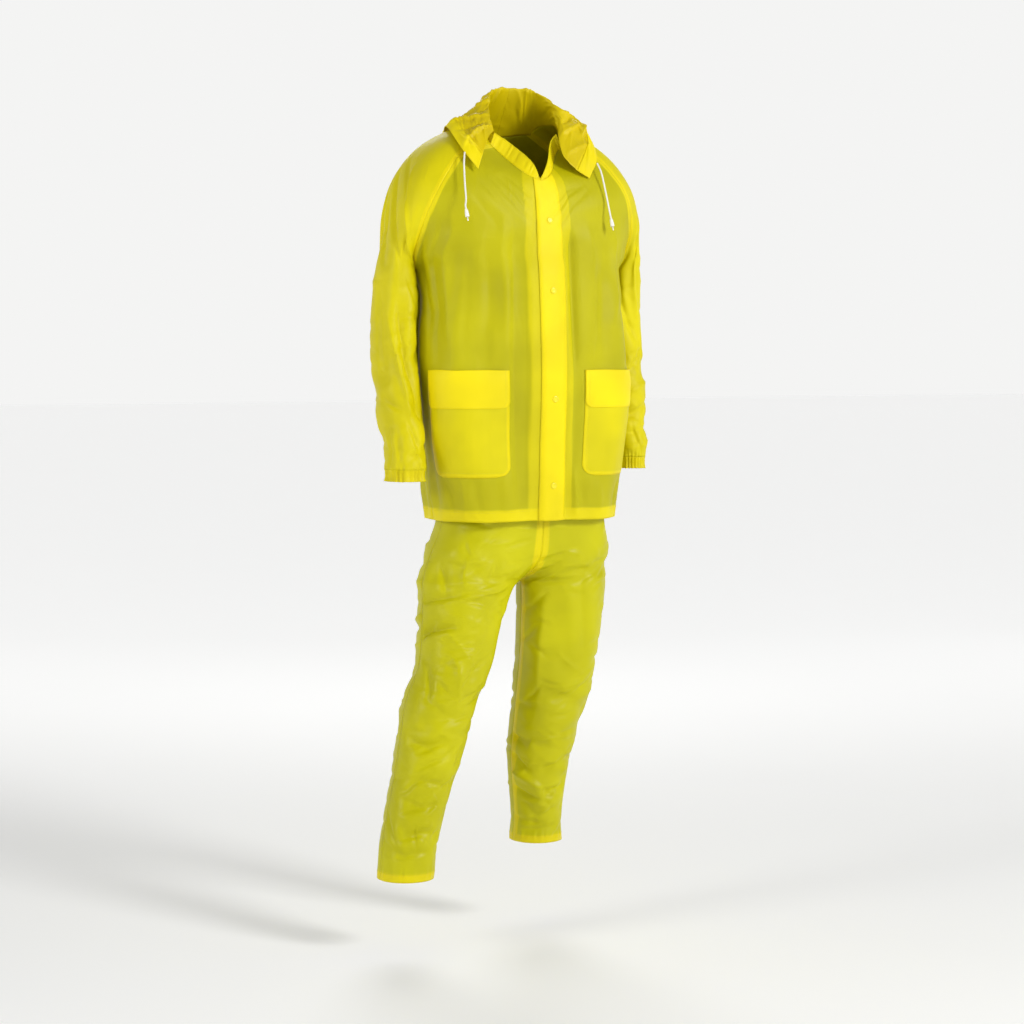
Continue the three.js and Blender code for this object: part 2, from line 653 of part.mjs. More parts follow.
// Panels of the jacket
const sideNames = { [RIGHT]: 'right', [LEFT]: 'left' };
const flapWidths = { [RIGHT]: FLAP_ON_RIGHT, [LEFT]: FLAP_ON_LEFT };
const backHalves = {};
for (const side of [RIGHT, LEFT]) {
  const sideName = sideNames[side];
  const front = pressFolds(bodyGrid(side, -1, flapWidths[side]), side, FOLDS.front, FOLD_SPAN.body);
  const back = pressFolds(bodyGrid(side, 1, 0), -side, FOLDS.back, FOLD_SPAN.body);
  const sleeve = pressFolds(sleeveGrid(side), -side, FOLDS.sleeve, FOLD_SPAN.sleeve);
  addPanel(`front_${sideName}`, front, side);
  addPanel(`sleeve_${sideName}`, sleeve, -side, SLEEVE_ROWS.indexOf(ARMPIT_STATION));
  addPanel(`hood_${sideName}`, hoodGrid(side, sleeve, back), side);
  addPanel(`neckband_${sideName}`, neckbandGrid(side, front), side);
  backHalves[side] = back;
}
const backGrid = backHalves[RIGHT].map((row, j) => [...[...row].reverse(), ...backHalves[LEFT][j].slice(1)]);
addPanel('back', backGrid, -1);
for (const side of [RIGHT, LEFT]) {
  for (const [face, facing, folds] of [['front', -1, FOLDS.trouserFront], ['back', 1, FOLDS.trouserBack]]) {
    const sign = facing * side;
    const grid = pressFolds(legGrid(side, facing), sign, folds, FOLD_SPAN.trouser);
    addPanel(`trouser_${face}_${sideNames[side]}`, grid, sign);
  }
}
weldNormals();

const hemWall = (j) => (j <= HEM_TOP_ROW ? HEM_WALL : WALL);
const legHemWall = (j) => (j >= LEG_ROWS.length - 1 ? HEM_WALL : WALL);
addWall('jacket_back', panels.back, FILM, hemWall, { firstRow: false });
for (const side of [RIGHT, LEFT]) {
  const sideName = sideNames[side];
  const front = panels[`front_${sideName}`];
  addWall(`jacket_front_${sideName}`, front, FILM, hemWall, { firstRow: false });
  addWall(`sleeve_${sideName}`, panels[`sleeve_${sideName}`], SLEEVE_FILM);
  addWall(`neckband_${sideName}`, panels[`neckband_${sideName}`], DOUBLE_FILM, WALL, { lastRow: false });
  addWall(`hood_${sideName}`, panels[`hood_${sideName}`], FILM, WALL, { lastRow: false });

  const hood = panels[`hood_${sideName}`];
  const casingRows = [HOOD_ROWS - CASING_ROWS, HOOD_ROWS];
  const casingColumns = [0, hood.grid[0].length - 1];
  const casing = drawBack(hood.grid, { firstRow: false, lastRow: false, firstColumn: false });
  addLayer(
    `hood_casing_${sideName}`,
    cut(casing, casingRows, casingColumns),
    cut(hood.normals, casingRows, casingColumns),
    -1,
    DOUBLE_FILM,
  );

  const columns = [POCKET_COLUMNS.inner, POCKET_COLUMNS.outer];
  const pocketRows = [POCKET_ROWS.bottom, POCKET_ROWS.flapTop];
  const flapRows = [POCKET_ROWS.flapBottom, POCKET_ROWS.flapTop];
  addLayer(
    `pocket_${sideName}`,
    roundLowerCorners(cut(front.grid, pocketRows, columns)),
    cut(front.normals, pocketRows, columns),
    1,
    SLEEVE_FILM,
  );
  addLayer(
    `pocket_flap_${sideName}`,
    cut(front.grid, flapRows, columns),
    cut(front.normals, flapRows, columns),
    2,
    DOUBLE_FILM,
  );

  for (const face of ['front', 'back']) {
    const name = `trouser_${face}_${sideName}`;
    addWall(name, panels[name], FILM, legHemWall, { lastRow: false });
  }
}

// Storm flap over the front closure, from the hem to the neck
const acrossClosure = (right, left) => right.map(
  (row, j) => [...row.slice(0, FLAP_COLUMN + 1).reverse(), ...left[j].slice(1, FLAP_COLUMN + 1)],
);
const stormFlap = addLayer(
  'front_flap',
  acrossClosure(panels.front_right.grid, panels.front_left.grid),
  acrossClosure(panels.front_right.normals, panels.front_left.normals),
  1,
  DOUBLE_FILM,
  FLAP_GAP,
);

// Snap caps on the flap, each in the middle of the cell of cloth above its row
function snapGeometry() {
  const profile = [
    [0, 0],
    [SNAP_RADIUS, 0],
    [SNAP_RADIUS, SNAP_THICK * SNAP_RIM.height],
    [SNAP_RADIUS * SNAP_RIM.domeRadius, SNAP_THICK * SNAP_RIM.dome],
    [SNAP_RADIUS * SNAP_RIM.topRadius, SNAP_THICK],
    [0, SNAP_THICK],
  ];
  return new THREE.LatheGeometry(profile.map(([r, h]) => new THREE.Vector2(r, h)), SNAP_FACETS);
}
const flapFace = offset(stormFlap.grid, stormFlap.normals, stormFlap.far);
SNAP_ROWS.forEach((row, k) => {
  const corners = [[0, 0], [0, 1], [1, 1], [1, 0]].map(([dj, di]) => flapFace[row + dj][SNAP_COLUMN + di]);
  const centre = corners.reduce((sum, p) => sum.add(p), point(0, 0, 0)).multiplyScalar(0.25);
  const diagonal = corners[2].clone().sub(corners[0]);
  const outward = diagonal.cross(corners[3].clone().sub(corners[1])).normalize();
  if (outward.y > 0) outward.negate();
  const snap = addMesh(`snap_${k + 1}`, snapGeometry(), SNAP_YELLOW, SNAP_ROUGHNESS);
  snap.quaternion.setFromUnitVectors(point(0, 1, 0), outward);
  snap.position.copy(centre).addScaledVector(outward, SNAP_SEAT);
});

// Elastic cuffs: rings made from the sleeve's last row, drawn in and gathered, with a row for each share
// of the cuff's depth
const CUFF_STEPS = table('share scale gather', [
  [0, 1, 0],
  [0.35, 0.93, 1],
  [0.65, 0.93, 1],
  [1, 1, 1],
]);
for (const side of [RIGHT, LEFT]) {
  const { grid, normals } = panels[`sleeve_${sideNames[side]}`];
  const rim = grid[grid.length - 1].slice(0, -1);
  const rimNormals = normals[grid.length - 1].slice(0, -1);
  const centre = rim.reduce((sum, p) => sum.add(p), point(0, 0, 0)).divideScalar(rim.length);
  const outer = CUFF_STEPS.map(({ share, scale, gather }) => rim.map((p, k) => {
    const wave = (k % 2 === 0 ? 1 : -1) * gather * CUFF_GATHER;
    const drop = mix(SEAM_GAP, CUFF_DEPTH, share);
    const moved = point(mix(centre.x, p.x, scale), mix(centre.y, p.y, scale), p.z - drop);
    return moved.addScaledVector(rimNormals[k], wave);
  }));
  const inner = CUFF_STEPS.map((_, j) => outer[j].map((p, k) => p.clone().addScaledVector(rimNormals[k], -WALL)));
  addMesh(`cuff_${sideNames[side]}`, wallGeometry(outer, inner, true), SLEEVE_FILM);
}

// Elastic waistband: a gathered ring above the four trouser panels
const topOf = (name) => ({ points: panels[name].grid[0], normals: panels[name].normals[0] });
const waistParts = [
  { name: 'trouser_front_left', reverse: false },
  { name: 'trouser_back_left', reverse: true },
  { name: 'trouser_back_right', reverse: false },
  { name: 'trouser_front_right', reverse: true },
].map(({ name, reverse }) => {
  const { points, normals } = topOf(name);
  const pairs = points.map((p, k) => [p, normals[k]]);
  return (reverse ? pairs.reverse() : pairs).slice(0, -1);
});
const waistRing = waistParts.flat();
const WAISTBAND_STEPS = table('share gather', [
  [0, 0],
  [0.35, 1],
  [0.7, 1],
  [1, 1],
]);
const waistOuter = WAISTBAND_STEPS.map(({ share, gather }) => waistRing.map(([p, normal], k) => p.clone()
  .addScaledVector(normal, (k % 2 === 0 ? 1 : -1) * gather * WAISTBAND_GATHER)
  .add(point(0, 0, mix(SEAM_GAP, WAISTBAND_DEPTH, share)))));
const waistInner = waistOuter.map((row) => row.map((p, k) => p.clone().addScaledVector(waistRing[k][1], -WALL)));
addMesh('waistband', wallGeometry(waistOuter, waistInner, true), DOUBLE_FILM);

// Drawcords of the hood, hanging from the casing's front ends. Each goes through a moulded, bell-shaped
// tip and ends just below it.
const CORDS = {
  right: [
    point(-162.6, -99.5, 1504.8),
    point(-170, -113, 1481),
    point(-176, -130, 1443),
    point(-177.5, -138, 1415),
    point(-180.5, -142, 1403),
    point(-180, -143.5, 1396),
  ],
  left: [
    point(117, -105, 1492),
    point(119.5, -118, 1472),
    point(122.5, -132, 1430),
    point(127, -143, 1384),
  ],
};
for (const [sideName, route] of Object.entries(CORDS)) {
  const curve = new THREE.CatmullRomCurve3(route);
  const ring = new THREE.Shape();
  for (let k = 0; k < CORD_SIDES; k += 1) {
    const angle = 2 * Math.PI * k / CORD_SIDES;
    ring[k === 0 ? 'moveTo' : 'lineTo'](CORD_RADIUS * Math.cos(angle), CORD_RADIUS * Math.sin(angle));
  }
  const cord = new THREE.ExtrudeGeometry(ring, {
    steps: Math.round(curve.getLength() / CORD_STEP),
    extrudePath: curve,
    curveSegments: 1,
  });
  addMesh(`drawcord_${sideName}`, cord, WHITE_CORD, CORD_ROUGHNESS);
  const end = curve.getPoint(1);
  const down = curve.getTangent(1);
  const profile = [
    [0, 0],
    [TIP_RADIUS * TIP_NECK.radius, 0],
    [TIP_RADIUS * TIP_NECK.shoulder, TIP_LENGTH * TIP_NECK.length],
    [TIP_RADIUS, TIP_LENGTH],
    [CORD_END.radius, TIP_LENGTH],
    [CORD_END.radius, TIP_LENGTH + CORD_END.length],
    [0, TIP_LENGTH + CORD_END.length],
  ];
  const tip = addMesh(
    `cord_tip_${sideName}`,
    new THREE.LatheGeometry(profile.map(([r, h]) => new THREE.Vector2(r, h)), TIP_FACETS),
    WHITE_CORD,
    TIP_ROUGHNESS,
  );
  tip.quaternion.setFromUnitVectors(point(0, 1, 0), down);
  tip.position.copy(end).addScaledVector(down, SEAM_GAP);
}

export default suit;
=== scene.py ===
"""Two-piece rain suit in translucent yellow film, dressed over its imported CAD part.

The jacket has a hood, raglan sleeves, a snapped storm flap and flapped pockets, and it is worn over loose
trousers. Sizes are millimetres, with heights above the floor, until metres() turns them into the row's frame.
"""

import json
import logging
import math
from dataclasses import dataclass, field
from enum import Enum
from functools import partial
from typing import Sequence

import bmesh
import bpy
import numpy as np
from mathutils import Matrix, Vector

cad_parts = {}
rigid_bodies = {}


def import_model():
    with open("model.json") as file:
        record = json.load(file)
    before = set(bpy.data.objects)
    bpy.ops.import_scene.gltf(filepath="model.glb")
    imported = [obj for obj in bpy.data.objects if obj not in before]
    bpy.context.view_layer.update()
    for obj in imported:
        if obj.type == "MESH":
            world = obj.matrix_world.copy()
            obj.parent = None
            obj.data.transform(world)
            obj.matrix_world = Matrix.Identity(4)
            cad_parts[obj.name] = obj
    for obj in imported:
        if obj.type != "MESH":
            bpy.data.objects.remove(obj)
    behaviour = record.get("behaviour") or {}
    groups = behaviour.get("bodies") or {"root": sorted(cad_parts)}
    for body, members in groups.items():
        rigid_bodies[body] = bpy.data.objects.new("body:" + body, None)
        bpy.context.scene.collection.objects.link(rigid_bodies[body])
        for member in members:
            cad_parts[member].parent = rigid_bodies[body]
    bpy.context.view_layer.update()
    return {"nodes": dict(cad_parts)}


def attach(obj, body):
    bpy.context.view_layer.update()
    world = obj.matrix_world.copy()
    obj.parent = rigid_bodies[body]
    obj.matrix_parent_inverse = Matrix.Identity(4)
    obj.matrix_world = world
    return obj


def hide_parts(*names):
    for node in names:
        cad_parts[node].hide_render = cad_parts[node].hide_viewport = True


Array = np.ndarray
Table = dict[str, Array]

log = logging.getLogger("rain_suit")

BODY_NAME = "root"
NECK_HEIGHT = 1545.0
SHOULDER_CENTRE = -15.0
SEED = 7

# The film itself is 0.3 mm thick; its walls are drawn a little thicker so that light doesn't leak at seams
FILM = 0.5
LAYER = 1.1
SPACING = 4.2
LEG_SPACING = 3.2

# Length of a stitch with its gap, the share of it that shows, the thread's radius, and how high it rides
STITCH = 3.2
STITCH_SHARE = 0.78
THREAD = 0.36
THREAD_LIFT = 0.4

# A crease's half width on its gentle and steep side, and how sharp its bottom is
GENTLE = 1.8
STEEP = 0.8
CUSP = 0.75
# How near its ends a crease keeps the depth that it has there, so that the half sine never reaches nothing
CREASE_END = 0.02

# Shares of a panel's width over which folds and creases fade out at its seams
FOLD_MARGIN = 0.12
CREASE_MARGIN = 0.03
SLEEVE_MARGIN = 0.05
EDGE_MARGIN = 0.04

# Widths in millimetres: how softly double film begins, and how far rows of stitches lie from an edge
SOFT_EDGE = 1.5
SEAM_STITCH = 5.5
SIDE_STITCH = 3.0
RIM_STITCH = 2.5
HEM_STITCH = 2.0
CASING_STITCH = 32.0

# Index of refraction of PVC, nylon and acetal, near enough for each
PLASTIC_IOR = 1.5

# Points on a curve before it is divided into even steps, and rows of a gathered ring
SAMPLES = 200
LEG_SAMPLES = 300
RING_ROWS = 12


class Option(Enum):
    """Option whose name in lower case is part of the names of pieces and columns."""

    @property
    def label(self) -> str:
        """The word for it in those names."""
        return self.name.lower()


class Side(Option):
    """Side of the wearer: the sign of X that it lies on."""

    RIGHT = -1
    LEFT = 1


class Face(Option):
    """Front or back of the garment: the sign of Y that it faces."""

    FRONT = -1
    BACK = 1


class Edge(Enum):
    """Edge of a panel's grid: the axis across it, and its place on that axis."""

    FIRST_ROW = (0, 0)
    LAST_ROW = (0, -1)
    FIRST_COLUMN = (1, 0)
    LAST_COLUMN = (1, -1)


def table(names: str, rows: Sequence[Sequence[float]]) -> Table:
    """Columns of a table of sizes, by name.

    Args:
        names: The columns' names, with spaces between them.
        rows: One row of numbers for each level or place.

    Returns:
        An array for each named column.
    """
    return dict(zip(names.split(), np.array(rows, float).T))


def tables(names: str, groups: dict) -> dict:
    """Tables with the same columns, by the side or part that they belong to."""
    return {key: table(names, rows) for key, rows in groups.items()}


# The jacket's half sections below the armpit, one row for each level from the hem up
BODY = table("z frontX frontY rightX leftX sideY backX backY rightBulge leftBulge reach", [
    (805, 4, -116, -178, 188, 10, 6, 127, 30, 24, 100),
    (827, 3.5, -119, -181, 188, 9, 5.5, 127, 34, 28, 103),
    (890, 2, -126, -189, 186, 8, 4, 125, 50, 46, 112),
    (960, 0, -132, -200, 183, 7, 1.5, 121, 58, 70, 118),
    (1021, -1.5, -139, -206, 182, 6, -1, 118, 60, 84, 124),
    (1093, -4.5, -146, -211, 184, 6, -4, 116, 60, 86, 128),
    (1160, -8, -150, -212, 183, 6, -7, 120, 56, 84, 130),
    (1228, -10, -149, -208, 179, 6, -11, 128, 40, 76, 128),
    (1288, -12, -147, -220, 190, 5, -14, 136, 8, 30, 128),
])

# The raglan cap, one row for each station from the neck down to the armpit
SEAM_NAMES = "frontX frontY frontZ backX backY backZ centreFrontY centreFrontZ centreBackY centreBackZ"
CAP_SEAMS = table(SEAM_NAMES, [
    (76, -62, 1525, 70, 62, 1556, -124, 1453, 74, 1550),
    (142, -78, 1506, 130, 88, 1525, -131, 1433, 98, 1520),
    (178, -92, 1468, 170, 104, 1487, -137, 1412, 118, 1485),
    (201, -95, 1432, 195, 108, 1448, -141, 1389, 130, 1450),
    (216, -85, 1394, 211, 100, 1405, -144, 1364, 138, 1410),
    (224, -62, 1350, 219, 75, 1355, -146, 1338, 141, 1370),
    (222, -28, 1312, 217, 38, 1312, -147, 1312, 140, 1330),
    (205, 5, 1288, 205, 5, 1288, -147, 1288, 136, 1288),
])
CAP_SHAPE = table("outX outY outZ leaveX leaveY leaveZ reach crown arrive crease drop", [
    (86, 2, 1572, 0.15, 0.6, 0.78, 26, 26, 30, 0, 26),
    (134, 6, 1551, 0.2, 0.6, 0.78, 36, 34, 45, 0, 12),
    (176, 6, 1527, 0.25, 0.52, 0.8, 44, 42, 55, 0, 4),
    (207, 4, 1497, 0.35, 0.42, 0.82, 48, 46, 60, 0, 0),
    (231, 3, 1455, 0.5, 0.1, 0.8, 50, 50, 70, 0, 0),
    (251, 5, 1402, 0.62, -0.5, 0.5, 48, 54, 85, 0.35, 0),
    (266, 9, 1345, 0.5, -0.85, 0.15, 56, 64, 94, 0.7, 0),
    (277, 14, 1288, 0.34, -0.94, 0, 68, 76, 112, 1, 0),
])
ARMS = tables("z out y wide deep", {
    Side.RIGHT: [
        (1228, 241.6, 15, 42, 58),
        (1170, 247.8, 8, 42, 58),
        (1111, 249.4, 0, 43, 56),
        (1043, 248.6, -12, 43, 54),
        (975, 246, -27, 42, 50),
        (930, 246, -40, 39, 45),
        (906, 247, -46, 37, 42),
    ],
    Side.LEFT: [
        (1228, 242, 19, 42, 57),
        (1170, 245, 21, 42, 57),
        (1111, 248, 15, 42, 54),
        (1043, 251, 8, 41, 50),
        (985, 253, -2, 37, 45),
        (940, 254, -8, 32, 39),
        (919, 255, -10, 28, 34),
    ],
})
HOOD_NAMES = "crestX crestY crestZ fallX fallY fallZ bagX bagY bagZ brimX brimY brimZ"
HOOD_BACK = (
    (30, 8, 1640, 58, 88, 1564, 80, 150, 1440, 80, 140, 1552),
    (0, 14, 1642, 0, 110, 1566, 0, 165, 1370, 0, 160, 1556),
)
HOODS = tables(HOOD_NAMES, {
    Side.RIGHT: [
        (70, -66, 1549, 96, -96, 1536, 114, -110, 1504, 126, -114, 1473),
        (76, -58, 1574, 104, -70, 1560, 130, -80, 1538, 147, -90, 1510),
        (62, -25, 1606, 102, -15, 1580, 130, -14, 1572, 147, -16, 1559),
        (46, 0, 1630, 78, 50, 1577, 94, 114, 1540, 100, 102, 1552),
        *HOOD_BACK,
    ],
    Side.LEFT: [
        (66, -68, 1549, 56, -108, 1506, 80, -117, 1478, 110, -115, 1462),
        (76, -56, 1580, 102, -68, 1562, 122, -80, 1538, 138, -90, 1507),
        (72, -22, 1614, 104, -20, 1592, 127, -16, 1574, 143, -16, 1558),
        (48, 0, 1636, 82, 52, 1576, 94, 114, 1532, 100, 102, 1550),
        *HOOD_BACK,
    ],
})
NECKBANDS = tables("inwards back up", {
    Side.RIGHT: [(0, 2, 4), (16, 8, 24), (22, 13, 27), (14, 12, 24)],
    Side.LEFT: [(0, 2, 4), (3, 8, 22), (6, 8, 28), (10, 2, 25)],
})
LEG_NAMES = "z innerX frontY backY outX outY frontMid backMid turn"
LEGS = tables(LEG_NAMES, {
    Side.RIGHT: [
        (990, 10, -94, 98, -135, 2, -78, 84, 0),
        (900, 9, -98, 106, -158, 2, -82, 92, 0),
        (805, 7, -94, 106, -163, 2, -80, 90, 0),
        (745, 4, -90, 102, -186, 0, -86, 92, 0),
        (715, 2, -68, 78, -200, -3, -91, 92, 0.3),
        (695, 0, -32, 38, -207, -6, -94, 90, 0.65),
        (685, 0, 2, 2, -210, -8, -96, 88, 0.85),
        (668, -30, -10, -10, -211, -12, -98, 84, 1),
        (600, -61, -22, -22, -217, -22, -104, 68, 1),
        (532, -82, -29, -29, -226, -29, -109, 54, 1),
        (463, -114, -35, -35, -256, -35, -113, 45, 1),
        (363, -151, -45, -45, -277, -45, -115, 27, 1),
        (281, -184, -55, -55, -298, -55, -116, 7, 1),
        (207, -207, -62, -62, -315, -62, -119, -4, 1),
        (140, -218, -66, -66, -322, -66, -121, -11, 1),
    ],
    Side.LEFT: [
        (990, 10, -94, 98, 155, 2, -78, 84, 0),
        (900, 9, -98, 106, 170, 2, -82, 92, 0),
        (805, 7, -94, 106, 172, 2, -80, 90, 0),
        (745, 4, -90, 102, 180, 1, -84, 94, 0),
        (715, 2, -68, 78, 181, 0, -87, 95, 0.3),
        (695, 0, -32, 38, 179, 0, -88, 95, 0.65),
        (685, 0, 2, 2, 178, 0, -88, 94, 0.85),
        (668, 5, 0, 0, 177, 0, -88, 93, 1),
        (600, 6, 3, 3, 170, 3, -84, 90, 1),
        (532, 4, 5, 5, 161, 5, -78, 90, 1),
        (443, -3, 10, 10, 143, 10, -68, 90, 1),
        (345, -8, 18, 18, 114, 18, -50, 86, 1),
        (280, -3, 23, 23, 103, 23, -38, 84, 1),
        (225, 2, 26, 26, 98, 26, -30, 82, 1),
        (170, 1, 30, 30, 99, 30, -24, 84, 1),
    ],
})

ARMPIT_LEVEL = 8
NECK_LEVEL = 15
ARMPIT_STATION = 7
SMOOTH_STATION = 4
CENTRE_HANDLE = 0.55
CENTRE_RISE = 0.2
HIP_HANDLE = 0.6
HALF_ELLIPSE = 4 / 3
BACK_BULGE = 0.5
FLAP_WIDTHS = {Side.RIGHT: 17.0, Side.LEFT: 38.0}
FLAP_COLUMN = 2.0
FRONT_SPLITS = {
    Side.RIGHT: (0.1, 0.195, 0.32, 0.44, 0.56, 0.68, 0.8, 0.9, 1),
    Side.LEFT: (0.06, 0.12, 0.26, 0.4, 0.54, 0.67, 0.8, 0.9, 1),
}
FRONT_COLUMNS = 11

# Largest folds, the same as in the CAD part: from (across, height) to (across, height), how far the line
# bows sideways, half width and depth. Across runs 0 to 1 over the panel; a depth below zero is a ridge.
CREASE_NAMES = "across1 z1 across2 z2 bow wide deep"
FOLDS = tables(CREASE_NAMES, {
    "front": [
        (0.3, 1330, 0.22, 820, 0, 24, 7), (0.5, 1260, 0.46, 1110, 0, 26, 8),
        (0.66, 1310, 0.72, 1110, 0, 22, 9), (0.56, 1000, 0.5, 800, 0, 26, -6),
        (0.82, 1200, 0.9, 840, 0, 24, 8),
    ],
    "back": [
        (0.14, 1340, 0.18, 820, 0, 30, 8), (0.42, 1300, 0.36, 820, 0, 28, -7),
        (0.62, 1320, 0.72, 900, 0, 26, 9), (0.86, 1180, 0.9, 830, 0, 24, 7),
    ],
    "sleeve": [
        (0.2, 1330, 0.3, 1180, 0, 26, 7), (0.62, 1350, 0.7, 1170, 0, 28, 7),
        (0.1, 1120, 0.45, 1085, 0, 20, 6), (0.9, 1090, 0.55, 1050, 0, 20, 6),
        (0.15, 1010, 0.5, 985, 0, 16, 5), (0.85, 985, 0.5, 950, 0, 16, 5),
    ],
    "trouser_front": [
        (0.9, 705, 0.55, 720, 0, 20, 6), (0.3, 660, 0.42, 520, 0, 24, 6),
        (0.2, 470, 0.75, 430, 0, 18, 6), (0.85, 400, 0.3, 372, 0, 17, 5),
        (0.2, 315, 0.7, 292, 0, 15, 5), (0.75, 235, 0.3, 218, 0, 14, 4),
    ],
    "trouser_back": [
        (0.3, 660, 0.5, 540, 0, 26, 7), (0.25, 480, 0.8, 500, 0, 18, 7),
        (0.8, 420, 0.25, 440, 0, 17, 6), (0.3, 330, 0.75, 312, 0, 15, 5),
        (0.75, 230, 0.25, 242, 0, 14, 4),
    ],
})
SPANS = {"front": 270.0, "back": 270.0, "sleeve": 330.0, "trouser": 240.0, "hood": 330.0}

